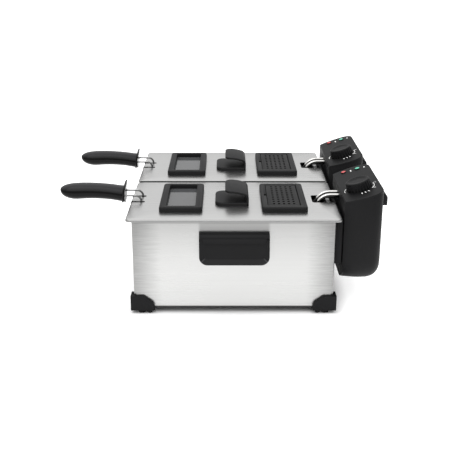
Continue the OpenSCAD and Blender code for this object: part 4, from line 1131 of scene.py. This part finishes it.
def buildDial(sizes):
    radius, height, topRound = sizes["radius"], sizes["height"], sizes["topRound"]
    knob = drum("knob", Vector((0, 0, height / 2000)), radius, height, sizes["sides"])
    pick(knob, "FACE", lambda face: face.normal.z > 0.9)
    stretch((sizes["taper"], sizes["taper"], 1), (0, 0, 0))
    bpy.ops.transform.translate(value=(0, 0, -topRound / 1000))
    for inset, rise in sizes["rounding"]:
        bpy.ops.mesh.inset(thickness=inset / 1.5 * topRound / 1000, depth=rise * topRound / 1000)
    for inset, drop in sizes["dish"]:
        bpy.ops.mesh.inset(thickness=inset / 1000, depth=-drop / 1000)
    letGo()
    share = 360 / sizes["sides"]
    # two faces of every four stand out as a rib
    pick(knob, "FACE", lambda face: abs(face.normal.z) < 0.5 and
         int(math.degrees(math.atan2(middle(face).y, middle(face).x)) // share) % 4 < 2)
    bpy.ops.mesh.extrude_region_shrink_fatten(TRANSFORM_OT_shrink_fatten={"value": -sizes["rib"] / 1000})
    letGo()
    softEdges(knob, sizes["edge"], 2, 35)
    start, end, wide, bottom, top = sizes["pointer"]
    line = roundBlock("pointer", Vector((radius - start, -wide / 2, height - bottom)) / 1000,
                      Vector((radius - end, wide / 2, height - top)) / 1000,
                      sizes["pointerCorner"], 0.1, 3, 1)
    knob = join("knob", knob, line)
    standOnPanel(knob, sizes["u"], sizes["v"], sizes["lift"], sizes["turn"])
    keep(knob, "dial", "knob_plastic", ["knob"])


def buildLamps(sizes):
    def button(name, slot, steps):
        radius, height, centre, edge = sizes[name]
        piece = drum(name, Vector((0, 0, centre / 1000)), radius, height, 32)
        soften(piece, lambda line: level(line, 2, (centre + height / 2) / 1000), edge, steps)
        paint(piece, slot)
        return piece

    wide, deep = sizes["groove"]
    for colour in ("red", "green"):
        bezel = button("bezel", "black_plastic", 2)
        pick(bezel, "FACE", lambda face: face.normal.z > 0.9)
        bpy.ops.mesh.inset(thickness=sizes["rim"] / 1000, depth=0)
        bpy.ops.mesh.inset(thickness=wide / 1000, depth=-deep / 1000)
        letGo()
        lamp = join("lamp" + colour.capitalize(), button("lens", "lamp_" + colour, 5), bezel)
        standOnPanel(lamp, *sizes[colour])
        keep(lamp, "heater", "lamp_" + colour, ["lamp_" + colour])


resetSizes = {"edge": 1.2}


def buildReset(sizes):
    low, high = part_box("reset_button_front")
    button = drum("resetButton", (low + high) / 2, (high.z - low.z) * 500, (high.x - low.x) * 1000, 32,
                  (0, math.pi / 2, 0))
    soften(button, lambda line: level(line, 0, high.x), sizes["edge"], 4)
    keep(button, "reset", "soft_rubber", ["reset_button"])


buildPanel(panelSizes, markSizes, dialSizes)
buildDial(dialSizes)
buildLamps(lampSizes)
buildReset(resetSizes)
print("panel, dial, lamps and reset modelled")

# ---- both units, bodies and the vent filters ----

for piece, body, slot, stands in wholePieces:
    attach(piece, body)
    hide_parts(*stands)
for piece, body, slot, stands in unitPieces:
    twin = copyOf(piece, piece.name + "Rear", unitStep)
    piece.name = piece.data.name = piece.name + "Front"
    for each, unit in ((piece, "front"), (twin, "rear")):
        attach(each, f"{body}_{unit}")
        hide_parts(*[f"{node}_{unit}" for node in stands])
for unit in ("front", "rear"):
    paint(nodes[f"vent_filter_{unit}"], "filter_mesh")
print("pieces kept:", len(wholePieces) + 2 * len(unitPieces))

# ---- floor, light and camera ----

studio = {"camera": (5.5, -1280, 523), "pitch": 19.53, "lens": 65.7, "floor": 0.9, "horizon": 0.62,
          "zenith": 1.3, "glow": 0.6, "glowReach": (0.5, 1), "glowFall": 0.75, "contactShadow": (0, 0.03),
          "key": (-300, -900, 1900), "keyAims": (0, 0, 80), "keySize": 2400, "keyPower": 26}


def buildStudio(sizes):
    letGo()
    bpy.ops.mesh.primitive_plane_add(size=24)
    floor = settle("floor")
    surface = Finish("floorPaint", Emission_Strength=sizes["glow"])
    grain = surface.noise(surface.place, 40, 2)
    # a light table: it glows under and round the product; a contact shadow is painted where the case stands
    # by taking the glow away there and just past its edges
    low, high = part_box("case")
    outside = surface.maths("MAXIMUM", surface.distance("X", caseMiddle.x) - (high.x - low.x) / 2,
                            surface.distance("Y", caseMiddle.y) - (high.y - low.y) / 2)
    lit = surface.spread(outside, *sizes["contactShadow"])
    fade = surface.spread(outside, *sizes["glowReach"])
    surface.feed(surface.tint(lit * (1 - fade * sizes["glowFall"]), (0, 0, 0), (1, 1, 1)),
                 surface.shader.inputs["Emission Color"])
    shade = sizes["floor"]
    floor.data.materials.append(surface.dress(surface.tint(grain, (shade,) * 3, (shade + 0.01,) * 3),
                                              (grain - 0.5) * 0.05 + 0.7))
    letGo()
    place = Vector(sizes["key"]) / 1000
    turn = (Vector(sizes["keyAims"]) / 1000 - place).to_track_quat("-Z", "Y").to_euler()
    bpy.ops.object.light_add(type="AREA", location=place, rotation=turn)
    lamp = bpy.context.object
    lamp.name, lamp.data.size, lamp.data.energy = "key", sizes["keySize"] / 1000, sizes["keyPower"]
    # a plain sky, paler overhead than at the horizon
    world = bpy.data.worlds.new("studio")
    world.use_nodes = True
    tree = world.node_tree
    place = tree.nodes.new("ShaderNodeTexCoord")
    split = tree.nodes.new("ShaderNodeSeparateXYZ")
    climb = tree.nodes.new("ShaderNodeMapRange")
    background = tree.nodes["Background"]
    for key, value in (("From Max", 0.9), ("To Min", sizes["horizon"]), ("To Max", sizes["zenith"])):
        climb.inputs[key].default_value = value
    tree.links.new(place.outputs["Generated"], split.inputs[0])
    tree.links.new(split.outputs["Z"], climb.inputs["Value"])
    background.inputs["Color"].default_value = (1, 1, 1, 1)
    tree.links.new(climb.outputs[0], background.inputs["Strength"])
    bpy.context.scene.world = world
    letGo()
    bpy.ops.object.camera_add(location=Vector(sizes["camera"]) / 1000,
                              rotation=(math.radians(90 - sizes["pitch"]), 0, 0))
    camera = bpy.context.object
    camera.data.lens, camera.data.sensor_width = sizes["lens"], 36
    bpy.context.scene.camera = camera
    bpy.context.scene.view_settings.view_transform = "Standard"


buildStudio(studio)
print("studio ready")
